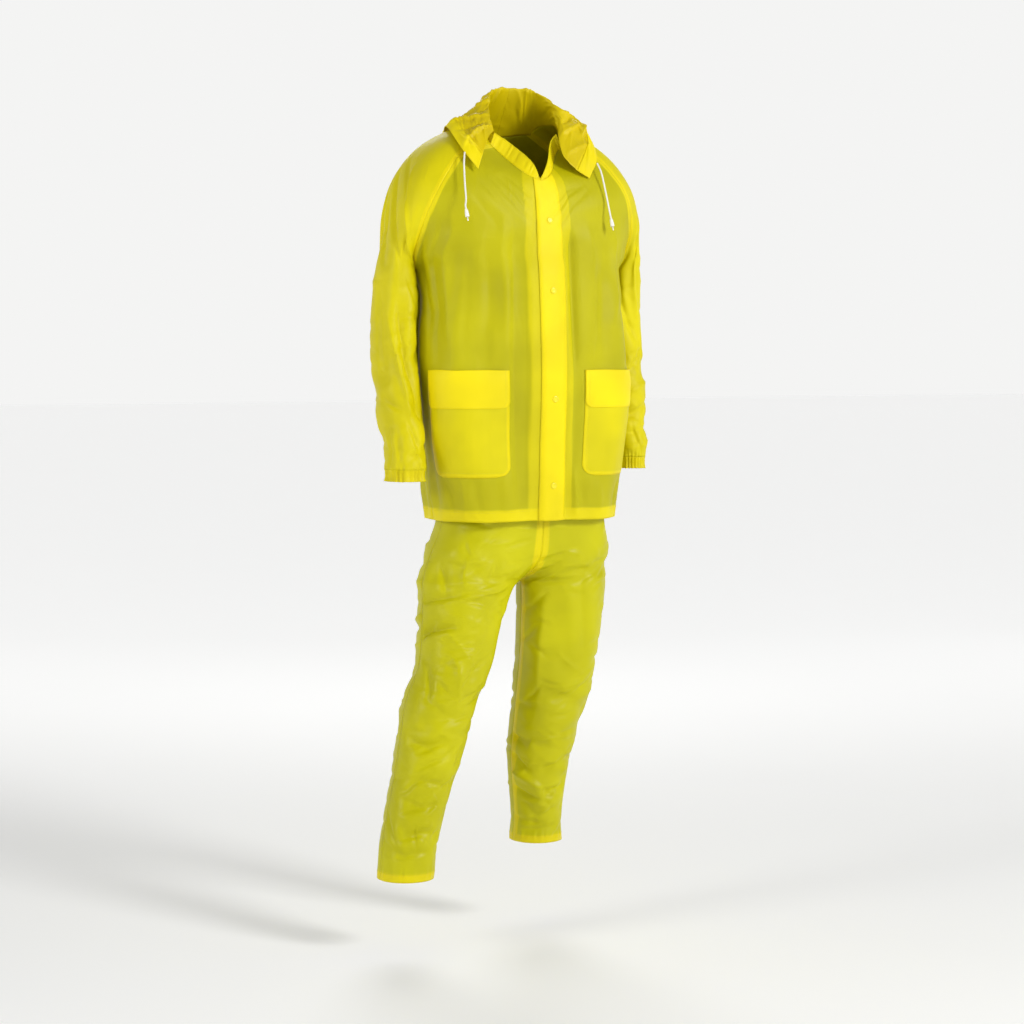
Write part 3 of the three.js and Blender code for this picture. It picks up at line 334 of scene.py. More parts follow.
# Finer creases of the film, those in view after the photograph and the hidden ones like them
CREASES = tables(CREASE_NAMES, {
    "front_right": [
        (0.526, 1461, 0.22, 1393, 4, 4.5, 1.5), (0.574, 1457, 0.227, 1374, 4, 4.5, 1.3),
        (0.496, 1465, 0.218, 1420, 3, 4.5, 1.2), (0.663, 1452, 0.357, 1384, 5, 5, 1.2),
        (0.73, 1436, 0.437, 1365, 5, 6, 1.0), (0.493, 1346, 0.459, 1160, 4, 9, 3.4),
        (0.757, 1361, 0.66, 1141, -4, 7, -2.6), (0.857, 1372, 0.755, 1109, 3, 8, 3),
        (1.0, 1394, 0.82, 1160, -3, 8, 3.2), (0.414, 1386, 0.373, 1101, 3, 8, -2.6),
        (0.324, 1373, 0.315, 824, -4, 8, 3), (0.24, 1321, 0.246, 817, 2, 5, -2),
        (0.579, 1320, 0.561, 1102, -3, 10, 2.2), (0.748, 887, 0.702, 818, 3, 6, 2.4),
        (0.544, 888, 0.533, 817, -3, 6, 2.2), (0.402, 901, 0.407, 815, 2, 7, -2.4),
        (0.978, 901, 1.0, 827, 0, 7, -2.2), (0.626, 882, 0.637, 817, 2, 5, -1.6),
        (0.171, 1435, 0.208, 1340, 2, 5, 1.2), (0.44, 1180, 0.43, 1100, 2, 6, -1.8),
    ],
    "front_left": [
        (0.556, 1452, 0.066, 1380, 4, 4.5, 1.3), (0.464, 1446, 0.098, 1405, 3, 4.5, 1.1),
        (0.618, 1451, 0.127, 1356, 5, 5, 1.1), (0.3, 1351, 0.279, 1103, 4, 9, 3),
        (0.45, 1371, 0.395, 1108, -3, 8, -2.4), (0.552, 1362, 0.466, 1112, 3, 9, 2.8),
        (0.689, 1359, 0.528, 1170, -4, 7, -2.2), (0.166, 1303, 0.209, 820, 3, 7, 2.2),
        (0.375, 885, 0.404, 819, 2, 6, 2), (0.452, 881, 0.486, 822, -2, 6, -2),
        (0.285, 905, 0.342, 816, 0, 6, -1.8), (0.8, 1330, 0.74, 1130, 4, 9, 3),
        (0.92, 1250, 0.93, 1000, -3, 8, 2.4), (0.84, 960, 0.86, 820, 3, 8, -2.2),
        (0.66, 880, 0.64, 818, 2, 6, 2),
    ],
    "back_right": [
        (0.06, 1440, 0.1, 1200, 4, 8, 2.6), (0.22, 1420, 0.26, 1000, -5, 9, -2.6),
        (0.34, 1380, 0.3, 1050, 4, 8, 3), (0.5, 1400, 0.47, 900, -4, 9, 2.8),
        (0.58, 1250, 0.56, 820, 3, 7, -2.2), (0.72, 1370, 0.66, 1120, -4, 8, 3),
        (0.8, 1250, 0.82, 980, 3, 7, -2.4), (0.93, 1350, 0.9, 1080, 3, 8, 3),
        (0.12, 960, 0.1, 815, 2, 7, 2), (0.44, 930, 0.42, 815, -2, 6, -2),
        (0.9, 1410, 0.6, 1440, 5, 5, 1.4), (0.86, 1380, 0.5, 1410, 4, 5, 1.2),
    ],
    "back_left": [
        (0.09, 1410, 0.05, 1150, -4, 8, 2.4), (0.19, 1400, 0.22, 1080, 5, 8, -2.4),
        (0.3, 1400, 0.34, 960, -4, 9, 3), (0.46, 1360, 0.5, 1000, 4, 8, 2.6),
        (0.6, 1300, 0.58, 900, -3, 8, -2.4), (0.7, 1380, 0.76, 1060, 4, 8, 2.8),
        (0.86, 1300, 0.84, 1020, -3, 7, -2.2), (0.95, 1340, 0.93, 1120, 3, 8, 2.8),
        (0.2, 930, 0.22, 815, 2, 6, 2), (0.64, 950, 0.62, 815, -2, 7, -2),
        (0.88, 1400, 0.55, 1435, 5, 5, 1.4),
    ],
    "sleeve_right": [
        (0.415, 1478, 0.06, 1292, -4, 5, -2.8), (0.657, 1474, 0.283, 1298, 3, 6, 3),
        (0.608, 1419, 0.447, 1291, -3, 7, 2.8), (0.571, 1496, 0.25, 1396, 2, 5, 2),
        (0.324, 1226, 0.144, 1007, -6, 8, 3.4), (0.402, 1203, 0.242, 998, 5, 7, -3),
        (0.46, 1245, 0.427, 1075, 3, 8, 2.4), (0.278, 1038, 0.075, 991, 3, 6, 2.6),
        (0.44, 990, 0.464, 910, 2, 5, 1.8), (0.364, 981, 0.368, 911, -2, 5, 1.8),
        (0.269, 993, 0.207, 940, 3, 5, 2.4), (0.249, 953, 0.143, 906, -2, 5, -1.8),
        (0.453, 1047, 0.295, 1015, -3, 5, 2.2), (0.2, 1260, 0.09, 1150, 3, 7, 2.6),
        (0.74, 1440, 0.66, 1290, 4, 8, 3), (0.86, 1380, 0.72, 1240, -4, 7, -2.4),
        (0.93, 1290, 0.7, 1180, 4, 7, 2.8), (0.9, 1140, 0.62, 1110, 3, 6, 2.6),
        (0.86, 1060, 0.6, 1080, -3, 6, 2.4), (0.92, 1000, 0.66, 960, 3, 6, 2.4),
        (0.74, 985, 0.7, 912, -2, 5, 1.8),
    ],
    "sleeve_left": [
        (0.04, 1328, 0.346, 1131, 5, 7, 2.8), (0.143, 1371, 0.357, 1187, -4, 6, -2.2),
        (0.2, 1087, 0.4, 1147, 4, 6, 2.6), (0.169, 1042, 0.42, 1070, -3, 5, -2),
        (0.124, 1000, 0.46, 1036, 3, 5, 2.8), (0.087, 961, 0.48, 980, -4, 5, 2.4),
        (0.081, 937, 0.42, 955, 3, 5, -1.8), (0.199, 985, 0.287, 933, 3, 5, 1.8),
        (0.3, 1450, 0.12, 1330, 3, 6, 2.4), (0.44, 1470, 0.4, 1330, -4, 8, 2.6),
        (0.56, 1440, 0.6, 1280, 4, 8, 3), (0.72, 1420, 0.66, 1260, 4, 8, 2.6),
        (0.9, 1330, 0.68, 1200, -4, 7, 2.8), (0.84, 1180, 0.56, 1150, 3, 7, -2.2),
        (0.9, 1120, 0.6, 1090, 3, 6, 2.6), (0.88, 1040, 0.62, 1060, -3, 6, 2.4),
        (0.9, 980, 0.6, 1000, 3, 5, 2.4), (0.8, 965, 0.72, 925, 2, 5, 1.8),
    ],
    "trouser_front_right": [
        (1.0, 649, 0.655, 664, 3, 5.5, 3.2), (0.994, 589, 0.669, 607, 3, 5.5, 4),
        (0.77, 658, 0.286, 678, -4, 4.5, -2.2), (1.0, 578, 0.833, 620, 3, 5, 2.6),
        (0.652, 659, 0.403, 638, 3, 5, 1.6), (0.801, 578, 0.48, 583, 2, 5, 1.7),
        (0.768, 564, 0.402, 569, 2, 5, 1.5), (0.792, 536, 0.526, 556, 3, 5, 1.6),
        (0.938, 544, 0.78, 474, 4, 6, 2.2), (0.687, 557, 0.48, 464, 4, 9, -2.4),
        (0.708, 474, 0.337, 476, 2, 5, 1.4), (0.622, 436, 0.25, 437, 3, 5, 1.5),
        (0.557, 414, 0.25, 399, 2, 5, 1.3), (0.777, 375, 0.503, 395, 3, 5, 2.2),
        (0.749, 344, 0.5, 364, 3, 5, 2.2), (0.681, 324, 0.328, 309, 3, 5, 1.8),
        (0.823, 308, 0.573, 337, 3, 5, 2), (0.806, 269, 0.355, 277, 3, 5, 2),
        (0.791, 218, 0.375, 230, 2, 5, 2.2), (0.794, 185, 0.387, 194, 2, 5, 1.8),
        (0.871, 731, 0.787, 662, 4, 8, 2.2), (0.554, 733, 0.658, 674, -4, 9, -2.2),
        (0.307, 732, 0.498, 686, 4, 6, 2),
    ],
    "trouser_front_left": [
        (0.007, 697, 0.189, 724, 4, 5, 1.8), (0.027, 667, 0.224, 707, 4, 5, -1.6),
        (0.016, 727, 0.186, 742, 2, 5, 1.8), (0.007, 620, 0.239, 667, 4, 5, 1.6),
        (0.004, 565, 0.19, 604, 3, 5, 1.4), (0.217, 647, 0.222, 453, 5, 14, -2.6),
        (0.448, 724, 0.59, 529, -4, 12, 2.2), (0.015, 448, 0.229, 441, 3, 5, 1.6),
        (0.006, 379, 0.223, 372, 3, 5, 2.8), (0.213, 372, 0.654, 381, -3, 5, -2.2),
        (0.022, 346, 0.246, 313, 3, 5, 2.4), (0.0, 310, 0.405, 276, -4, 5.5, -3.6),
        (0.039, 281, 0.37, 256, 3, 5, 3), (0.405, 276, 0.75, 282, 3, 5, 2.6),
        (0.357, 315, 0.624, 337, 3, 5, 2), (0.107, 253, 0.283, 244, 2, 5, 1.6),
        (0.019, 220, 0.454, 211, 2, 5, 1.8), (0.11, 197, 0.64, 205, 2, 5, 2),
        (0.34, 453, 0.54, 471, 3, 5, 1.6), (0.32, 422, 0.6, 427, 2, 5, 1.6),
    ],
    "trouser_back_right": [
        (0.9, 720, 0.5, 690, 4, 6, 3), (0.8, 640, 0.4, 655, -4, 6, 2.6),
        (0.95, 600, 0.6, 575, 3, 6, 2.6), (0.25, 700, 0.5, 640, 4, 8, -2.4),
        (0.9, 470, 0.45, 455, 4, 5, 3), (0.75, 440, 0.25, 425, -3, 5, 2.6),
        (0.9, 405, 0.4, 392, 3, 5, 2.6), (0.5, 370, 0.15, 355, 3, 5, 2.2),
        (0.85, 330, 0.45, 320, 3, 5, 2), (0.7, 275, 0.25, 262, -3, 5, 2),
        (0.85, 215, 0.4, 200, 3, 5, 2), (0.5, 178, 0.2, 170, 2, 5, 1.6),
    ],
    "trouser_back_left": [
        (0.85, 725, 0.45, 700, 4, 6, 2.8), (0.75, 660, 0.3, 640, -4, 6, 2.6),
        (0.55, 610, 0.85, 560, 4, 9, -2.6), (0.3, 560, 0.25, 470, 3, 8, 2.4),
        (0.9, 465, 0.4, 445, 4, 5, 3), (0.7, 420, 0.2, 405, -3, 5, 2.8),
        (0.9, 380, 0.45, 365, 3, 5, 2.6), (0.6, 335, 0.2, 320, 3, 5, 2.4),
        (0.85, 290, 0.4, 276, 3, 5, 2.4), (0.65, 245, 0.25, 235, -3, 5, 2),
        (0.8, 205, 0.4, 196, 2, 5, 1.8),
    ],
})

# Creases of the hood: from (across, along) to (across, along). Across runs from the hood's front edge to
# the centre back, and along from the neck seam to the brim, both 0 to 1.
HOOD_CREASES = tables("across1 along1 across2 along2 bow wide deep", {
    Side.RIGHT: [
        (0.1, 0.3, 0.22, 0.95, 4, 6, 3), (0.2, 0.35, 0.34, 0.9, -4, 6, -3),
        (0.28, 0.3, 0.42, 0.95, 4, 6, 3.4), (0.36, 0.25, 0.52, 0.8, -4, 7, -2.8),
        (0.46, 0.25, 0.58, 0.9, 3, 7, 3.2), (0.12, 0.12, 0.3, 0.22, 3, 6, 2.2),
        (0.3, 0.15, 0.55, 0.2, -3, 6, 2), (0.62, 0.3, 0.66, 0.95, 4, 8, 3),
        (0.76, 0.25, 0.74, 0.9, -4, 8, -3), (0.88, 0.3, 0.84, 0.95, 3, 8, 3),
        (0.58, 0.45, 0.86, 0.5, 5, 7, 2.6), (0.06, 0.75, 0.3, 0.85, 3, 5, 2),
    ],
    Side.LEFT: [
        (0.08, 0.35, 0.3, 0.6, 4, 6, 3), (0.16, 0.3, 0.36, 0.5, -3, 6, -2.8),
        (0.2, 0.62, 0.4, 0.85, 3, 6, 3.2), (0.3, 0.3, 0.44, 0.8, 4, 7, 3),
        (0.4, 0.25, 0.54, 0.9, -4, 7, -3), (0.5, 0.3, 0.6, 0.85, 3, 7, 3),
        (0.1, 0.15, 0.34, 0.2, 3, 6, 2.2), (0.64, 0.3, 0.68, 0.95, -4, 8, -2.8),
        (0.74, 0.3, 0.78, 0.9, 4, 8, 3), (0.9, 0.35, 0.86, 0.9, 3, 8, 2.8),
        (0.56, 0.5, 0.84, 0.42, -4, 7, 2.4), (0.04, 0.55, 0.2, 0.8, 3, 5, 2.4),
    ],
})

# Drawcord routes, repeated from the CAD part
CORD_ROUTES = {
    Side.RIGHT: (
        (-162.6, -99.5, 1504.8), (-170, -113, 1481), (-176, -130, 1443), (-177.5, -138, 1415),
        (-180.5, -142, 1403), (-180, -143.5, 1396),
    ),
    Side.LEFT: ((117, -105, 1492), (119.5, -118, 1472), (122.5, -132, 1430), (127, -143, 1384)),
}


def mix(a: Array | float, b: Array | float, share: Array | float) -> Array | float:
    """Value that lies a share of the way from a to b."""
    return a + (b - a) * share


def unit(vectors: Array) -> Array:
    """Vectors of length 1 with the same directions."""
    return vectors / np.maximum(np.linalg.norm(vectors, axis=-1, keepdims=True), 1e-9)


def columns(rows: Table, *names: str) -> Array:
    """Named columns of a table side by side, as points."""
    return np.stack([rows[name] for name in names], -1)


def spline(values: Array, t: Array) -> Array:
    """Smooth values between the rows of an array.

    The curve is a uniform Catmull-Rom spline: between two rows it is the cubic that passes through both with
    slopes of half the difference between their neighbours. Past either end the last step is repeated.

    Args:
        values: One row for each whole t.
        t: Places along the rows.

    Returns:
        One row for each t.
    """
    values = np.asarray(values, float)
    t = np.atleast_1d(np.asarray(t, float))
    last = len(values) - 1
    start = np.clip(np.floor(t), 0, last - 1).astype(int)
    f = (t - start).reshape((-1,) + (1,) * (values.ndim - 1))
    ends = np.concatenate([2 * values[:1] - values[1:2], values, 2 * values[-1:] - values[-2:-1]])
    a, b, c, d = (ends[start + k] for k in range(4))
    return b + f * (c - a + f * (2 * a - 5 * b + 4 * c - d + f * (3 * (b - c) + d - a))) / 2


def cubic(handles: Array, share: Array) -> Array:
    """Points on Bezier cubics.

    A point is the sum of the four handles weighted by (1-t)^3, 3(1-t)^2 t, 3(1-t) t^2 and t^3.

    Args:
        handles: Rows of four handles, shaped (rows, 4, 3).
        share: Places along each cubic, shaped (rows, columns).

    Returns:
        Points, shaped (rows, columns, 3).
    """
    t = share[..., None]
    s = 1 - t
    a, b, c, d = (handles[:, None, k] for k in range(4))
    return a * s ** 3 + 3 * b * s ** 2 * t + 3 * c * s * t ** 2 + d * t ** 3


def arc(points: Array, axis: int) -> Array:
    """Length along a grid from its first row or column to each point.

    Args:
        points: Grid of points.
        axis: 0 to measure up the rows, 1 to measure across the columns.

    Returns:
        One length for each grid point.
    """
    steps = np.linalg.norm(np.diff(points, axis=axis), axis=-1)
    start = np.zeros_like(np.take(steps, [0], axis))
    return np.concatenate([start, np.cumsum(steps, axis)], axis)


def even_places(points: Array, places: Array, spacing: float) -> Array:
    """Places on a curve that lie about a spacing apart, its ends among them.

    Args:
        points: Points on the curve.
        places: The parameter of each of those points.
        spacing: Wanted distance.

    Returns:
        Parameters of the evenly spaced points.
    """
    length = arc(points[None], 1)[0]
    count = max(int(round(length[-1] / spacing)), 2)
    return np.interp(np.linspace(0, length[-1], count + 1), length, places)


def smooth_step(value: Array) -> Array:
    """0 below 0, 1 above 1 and a smooth rise between them."""
    f = np.clip(value, 0, 1)
    return f * f * (3 - 2 * f)


def band(distance: Array, width: float) -> Array:
    """1 up to a width from an edge and 0 beyond it, with a short soft step between them."""
    return 1 - smooth_step((distance - width) / SOFT_EDGE)


def metres(points: Array) -> Array:
    """Points in the row's frame, in metres."""
    return (points - (0, 0, NECK_HEIGHT)) / 1000


def from_shoulder(side: Side, points: Array) -> Array:
    """Points whose X counts outwards from the plane between the shoulders, placed on one side."""
    return points * (side.value, 1, 1) + (SHOULDER_CENTRE, 0, 0)


def grid_normals(points: Array, sign: int) -> Array:
    """Unit normals of a grid: the cross product of its steps across and up, turned out by sign."""
    across = np.gradient(points, axis=1)
    up = np.gradient(points, axis=0)
    return unit(np.cross(across, up) * sign)


def crease_depth(across: Array, height: Array, rows: Table, span: float, taper: bool) -> Array:
    """Depth of the creases at each grid point.

    Each fold is a line, bowed sideways by a parabola, with the depth deep * exp(-(distance / wide)^2). A
    tapered crease grows from nothing at both ends by a half sine, is steeper on one side than on the other,
    and has a lower power than 2, which makes its bottom sharper.

    Args:
        across: Place across the panel, 0 to 1.
        height: Height of each point.
        rows: The creases.
        span: Width of the panel that across stands for.
        taper: Whether the depth fades towards the line's ends.

    Returns:
        The depth into the cloth.
    """
    depth = np.zeros(np.broadcast(across, height).shape)
    for x1, z1, x2, z2, bow, wide, deep in zip(*rows.values()):
        dx = (x2 - x1) * span
        dz = z2 - z1
        length = math.hypot(dx, dz)
        px = (across - x1) * span
        pz = height - z1
        along = (px * dx + pz * dz) / length ** 2
        inside = np.clip(along, 0, 1)
        side = (px * dz - pz * dx) / length - bow * 4 * inside * (1 - inside)
        past = (along - inside) * length
        steep = np.where(side > 0, wide * GENTLE, wide * STEEP) if taper else wide
        fall = np.exp(-((side / steep) ** 2 + (past / wide) ** 2) ** (CUSP if taper else 1))
        ends = np.sqrt(np.sin(np.pi * np.clip(inside, CREASE_END, 1 - CREASE_END))) if taper else 1.0
        depth += deep * fall * ends
    return depth


@dataclass(frozen=True)
class Scatter:
    """Short uneven creases, gathered about some heights of a panel.

    Heights scatter about the given ones by a bell curve, and directions about the slant.

    Attributes:
        count: How many.
        places: Heights, and how far the creases spread about each.
        slant: Mean angle from level, in radians, towards each side.
        deep: Largest depth.
        turn: How far directions spread about the slant.
        run: Least and largest half length.
        wide: Least and largest half width.
        bow: Largest bow sideways.
        least: Depth of the shallowest beside the deepest.
        troughs: Share of them that are troughs; the others are ridges.
        ridge: Height of a ridge beside a trough's depth.
        across: Lowest and highest place over the panel, 0 to 1.
        span: Width that across stands for.
    """

    count: int
    places: tuple[tuple[float, float], ...]
    slant: float
    deep: float
    turn: float = 0.3
    run: tuple[float, float] = (14.0, 52.0)
    wide: tuple[float, float] = (3.2, 6.4)
    bow: float = 3.0
    least: float = 0.4
    troughs: float = 0.67
    ridge: float = 0.8
    across: tuple[float, float] = (0.06, 0.94)
    span: float = 250.0

    def creases(self, seed: int) -> Table:
        """The table of creases that a seed gives."""
        rng = np.random.default_rng(seed)
        centre, spread = np.array(self.places, float)[rng.integers(len(self.places), size=self.count)].T
        across = rng.uniform(*self.across, self.count)
        height = centre + spread * rng.normal(size=self.count)
        angle = self.slant * np.sign(across - 0.5) + rng.normal(0, self.turn, self.count)
        run = rng.uniform(*self.run, self.count)
        dx = run * np.cos(angle) / self.span
        dz = run * np.sin(angle)
        depth = self.deep * rng.uniform(self.least, 1, self.count)
        depth = depth * np.where(rng.uniform(size=self.count) < self.troughs, 1, -self.ridge)
        bow = rng.uniform(-self.bow, self.bow, self.count)
        wide = rng.uniform(*self.wide, self.count)
        rows = (across - dx, height - dz, across + dx, height + dz, bow, wide, depth)
        return dict(zip(CREASE_NAMES.split(), rows))


@dataclass
class Panel:
    """One cut piece of film as a grid of outside points.

    Attributes:
        points: The outside points, shaped (rows, columns, 3).
        sign: Turns the grid's normals out of the garment.
        across: Place of each column over the panel, 0 to 1.
        double: How much of each point lies in a seam allowance or hem, where the film is double.
        normals: The outward normals, once they are worked out.
        own_from: Row from which the panel meets no other panel smoothly.
    """

    points: Array
    sign: int
    across: Array
    double: Array = field(default=None)
    normals: Array = field(default=None)
    own_from: int = 10 ** 6

    def __post_init__(self) -> None:
        """Starts with single film and the grid's own normals."""
        if self.double is None:
            self.double = np.zeros(self.points.shape[:2])
        self.normals = grid_normals(self.points, self.sign)

    def press(self, rows: Table, span: float, margin: float, taper: bool, gain: float = 1.0) -> None:
        """Presses creases into the panel, fading out at its side seams.

        Args:
            rows: The creases.
            span: Width that across stands for.
            margin: Share of the width over which they fade at each seam.
            taper: Whether they fade towards their ends.
            gain: Factor on their depth.
        """
        share = np.broadcast_to(self.across, self.points.shape[:2])
        depth = crease_depth(share, self.points[..., 2], rows, span, taper) * gain
        depth *= smooth_step(share / margin) * smooth_step((1 - share) / margin)
        self.points = self.points - grid_normals(self.points, self.sign) * depth[..., None]
        self.normals = grid_normals(self.points, self.sign)

    def crease(self, part: str, side: Side, margin: float, gain: float) -> None:
        """Presses in the CAD part's folds and then the listed finer creases.

        Args:
            part: Name of the panel's kind in the tables.
            side: Side of the wearer.
            margin: Share of the width over which the finer ones fade at each seam.
            gain: Factor on their depth.
        """
        span = SPANS[part.partition("_")[0]]
        self.press(FOLDS[part], span, FOLD_MARGIN, False)
        self.press(CREASES[f"{part}_{side.label}"], span, margin, True, gain)

    def move_out(self, distance: Array) -> None:
        """Moves each point out along its normal by a distance of its own."""
        self.points = self.points + self.normals * distance[..., None]

    def at(self, row: Array, column: Array) -> tuple[Array, Array]:
        """Points and normals at fractional rows and columns, mixed from the four grid points round them.

        Args:
            row: Fractional row numbers.
            column: Fractional column numbers, of the same shape.

        Returns:
            The points and the unit normals.
        """
        last_row = self.points.shape[0] - 1
        last_column = self.points.shape[1] - 1
        j = np.clip(np.floor(row), 0, last_row - 1).astype(int)
        i = np.clip(np.floor(column), 0, last_column - 1).astype(int)
        v = (row - j)[..., None]
        u = (column - i)[..., None]
        found = []
        for values in (self.points, self.normals):
            low = mix(values[j, i], values[j, i + 1], u)
            high = mix(values[j + 1, i], values[j + 1, i + 1], u)
            found.append(mix(low, high, v))
        return found[0], unit(found[1])

    def beside(self, edge: Edge, distance: float, run: slice = slice(None)) -> tuple[Array, Array]:
        """Line on the panel beside one of its edges.

        Args:
            edge: The edge.
            distance: Distance from it.
            run: The rows or columns that the line runs over.

        Returns:
            Points and normals of the line.
        """
        axis, place = edge.value
        length = arc(self.points, axis)
        lines = (length if axis else length.T)[run]
        wanted = np.broadcast_to(lines[:, -1] - distance if place else distance, len(lines))
        inward = np.array([np.interp(w, line, np.arange(len(line))) for w, line in zip(wanted, lines)])
        along = np.arange(self.points.shape[1 - axis], dtype=float)[run]
        return self.at(along, inward) if axis else self.at(inward, along)


def weld_normals(panels: Sequence[Panel]) -> None:
    """Gives panels that share a seam point the mean of their normals there, unless the film is folded back.

    Args:
        panels: The panels that are sewn to each other.
    """
    keys = []
    for panel in panels:
        own = np.zeros(panel.points.shape[:2])
        own[panel.own_from:] = 1
        keys.append(np.concatenate([np.round(panel.points, 1), own[..., None]], -1).reshape(-1, 4))
    _, place = np.unique(np.concatenate(keys), axis=0, return_inverse=True)
    place = place.ravel()
    normals = np.concatenate([panel.normals.reshape(-1, 3) for panel in panels])
    sums = np.zeros((place.max() + 1, 3))
    np.add.at(sums, place, normals)
    shared = unit(sums)[place]
    same_way = (shared * normals).sum(-1, keepdims=True) > 0.2
    normals = np.where(same_way, shared, normals)
    start = 0
    for panel in panels:
        count = panel.points.shape[0] * panel.points.shape[1]
        panel.normals = normals[start:start + count].reshape(panel.points.shape)
        start += count


def grid_quads(rows: int, count: int, ring: bool) -> Array:
    """Quads of a grid.

    Args:
        rows: Rows of the grid.
        count: Columns of the grid.
        ring: Whether the last column joins the first.

    Returns:
        Vertex numbers, shaped (faces, 4).
    """
    j, i = np.meshgrid(np.arange(rows - 1), np.arange(count if ring else count - 1), indexing="ij")
    low, high, after = j * count, (j + 1) * count, (i + 1) % count
    return np.stack([low + i, low + after, high + after, high + i], -1).reshape(-1, 4)


def wall_faces(rows: int, count: int, ring: bool) -> Array:
    """Quads of a closed wall between two like grids, the outer one first.

    Args:
        rows: Rows of each grid.
        count: Columns of each grid.
        ring: Whether the last column joins the first.

    Returns:
        Vertex numbers, shaped (faces, 4).
    """
    inner = rows * count
    out = grid_quads(rows, count, ring)
    faces = [out, out[:, ::-1] + inner]
    cell = np.arange(count if ring else count - 1)
    for edge, turn in ((cell, 1), (cell + inner - count, -1)):
        after = edge - cell + (cell + 1) % count
        faces.append(np.stack([after, edge, edge + inner, after + inner], -1)[:, ::turn])
    if not ring:
        up = np.arange(rows - 1) * count
        for edge, turn in ((up, 1), (up + count - 1, -1)):
            after = edge + count
            faces.append(np.stack([edge, after, after + inner, edge + inner], -1)[:, ::turn])
    return np.concatenate(faces)


def signed_volume(points: Array, faces: Array) -> float:
    """Volume inside quads: the sum over their triangles of a . (b x c) / 6, negative if they face inwards."""
    total = 0.0
    for a, b, c in ((0, 1, 2), (0, 2, 3)):
        cross = np.cross(points[faces[:, b]], points[faces[:, c]])
        total += float((points[faces[:, a]] * cross).sum()) / 6
    return total


def add_object(name: str, data: bpy.types.ID) -> bpy.types.Object:
    """New object in the scene for a mesh, light or camera."""
    item = bpy.data.objects.new(name, data)
    bpy.context.scene.collection.objects.link(item)
    return item


def add_mesh(
    name: str, points: Array, faces: Array, attributes: dict[str, Array] | None = None,
) -> bpy.types.Object:
    """New object with a mesh in the row's frame.

    Args:
        name: Name of the piece.
        points: Vertices in millimetres above the floor.
        faces: Quads or triangles, as vertex numbers.
        attributes: Values for each vertex, by name.

    Returns:
        The object, smooth shaded.
    """
    if faces.shape[1] == 4 and signed_volume(points, faces) < 0:
        faces = faces[:, ::-1]
    mesh = bpy.data.meshes.new(name)
    mesh.from_pydata(metres(points).tolist(), [], faces.tolist())
    for label, values in (attributes or {}).items():
        layer = mesh.attributes.new(label, "FLOAT", "POINT")
        layer.data.foreach_set("value", np.ascontiguousarray(values, np.float32).ravel())
    mesh.polygons.foreach_set("use_smooth", np.ones(len(mesh.polygons), bool))
    mesh.update()
    return add_object(name, mesh)


def ring_points(e1: Array, e2: Array, sides: int) -> Array:
    """Points of the unit circle cos(a) * e1 + sin(a) * e2."""
    angle = np.linspace(0, 2 * np.pi, sides, endpoint=False)
    return np.cos(angle)[:, None] * e1 + np.sin(angle)[:, None] * e2


def lathe(
    base: Array, outward: Array, profile: Sequence[tuple[float, float]], sides: int,
) -> tuple[Array, Array]:
    """A profile turned about an axis.

    A point is base + height * outward + radius * its place on a unit circle square to outward.

    Args:
        base: Point on the axis at height 0.
        outward: Direction of the axis.
        profile: Radius and height of each ring, from the base up.
        sides: Points in each ring.

    Returns:
        Vertices and quads; a ring of no radius closes the shape.
    """
    axis = unit(np.asarray(outward, float))
    helper = np.array((0.0, 0.0, 1.0)) if abs(axis[2]) < 0.9 else np.array((1.0, 0.0, 0.0))
    e1 = unit(np.cross(axis, helper))
    ring = ring_points(e1, np.cross(axis, e1), sides)
    radius, height = np.array(profile, float).T[..., None, None]
    points = base + height * axis + radius * ring
    return points.reshape(-1, 3), grid_quads(len(points), sides, True)


def tube(path: Array, radius: float, sides: int) -> tuple[Array, Array]:
    """Round tube along a path, closed at both ends by rings of no radius.

    Args:
        path: Points along the middle.
        radius: Outside radius.
        sides: Points round it.

    Returns:
        Vertices and quads.
    """
    along = unit(np.gradient(path, axis=0))
    e1 = unit(np.cross(along, (1.0, 0.0, 0.0)))
    body = path[:, None] + radius * ring_points(e1[:, None], np.cross(along, e1)[:, None], sides)
    start, stop = (np.repeat(path[k][None, None], sides, 1) for k in (0, -1))
    points = np.concatenate([start, body, stop])
    return points.reshape(-1, 3), grid_quads(len(points), sides, True)


def merge_doubles(piece: bpy.types.Object) -> None:
    """Merges the points of a piece's poles and drops the faces that had no area."""
    mesh = bmesh.new()
    mesh.from_mesh(piece.data)
    bmesh.ops.remove_doubles(mesh, verts=mesh.verts, dist=1e-6)
    bmesh.ops.dissolve_degenerate(mesh, edges=mesh.edges, dist=1e-7)
    bmesh.ops.recalc_face_normals(mesh, faces=mesh.faces)
    mesh.to_mesh(piece.data)
    mesh.free()
    piece.data.update()


def gathers(share: Array, count: int, seed: int) -> Array:
    """Uneven waves of an edge that elastic draws in.

    The wave is the sine of a phase that runs faster and slower round the ring, times a height that also
    changes round it.

    Args:
        share: Place round the ring, 0 to 1.
        count: Number of waves.
        seed: Seed of the unevenness.

    Returns:
        Heights between -1 and 1.
    """
    a, b, c = np.random.default_rng(seed).uniform(0, 2 * np.pi, 3)
    turn = 2 * np.pi * share
    phase = count * turn + 1.6 * np.sin(3 * turn + a) + 0.9 * np.sin(7 * turn + b)
    return np.sin(phase) * (0.75 + 0.25 * np.sin(5 * turn + c))


def linear(code: str) -> tuple[float, float, float, float]:
    """Linear colour of an sRGB hex code."""
    parts = [int(code[k:k + 2], 16) / 255 for k in (1, 3, 5)]
    turned = [c / 12.92 if c <= 0.04045 else ((c + 0.055) / 1.055) ** 2.4 for c in parts]
    return (*turned, 1.0)


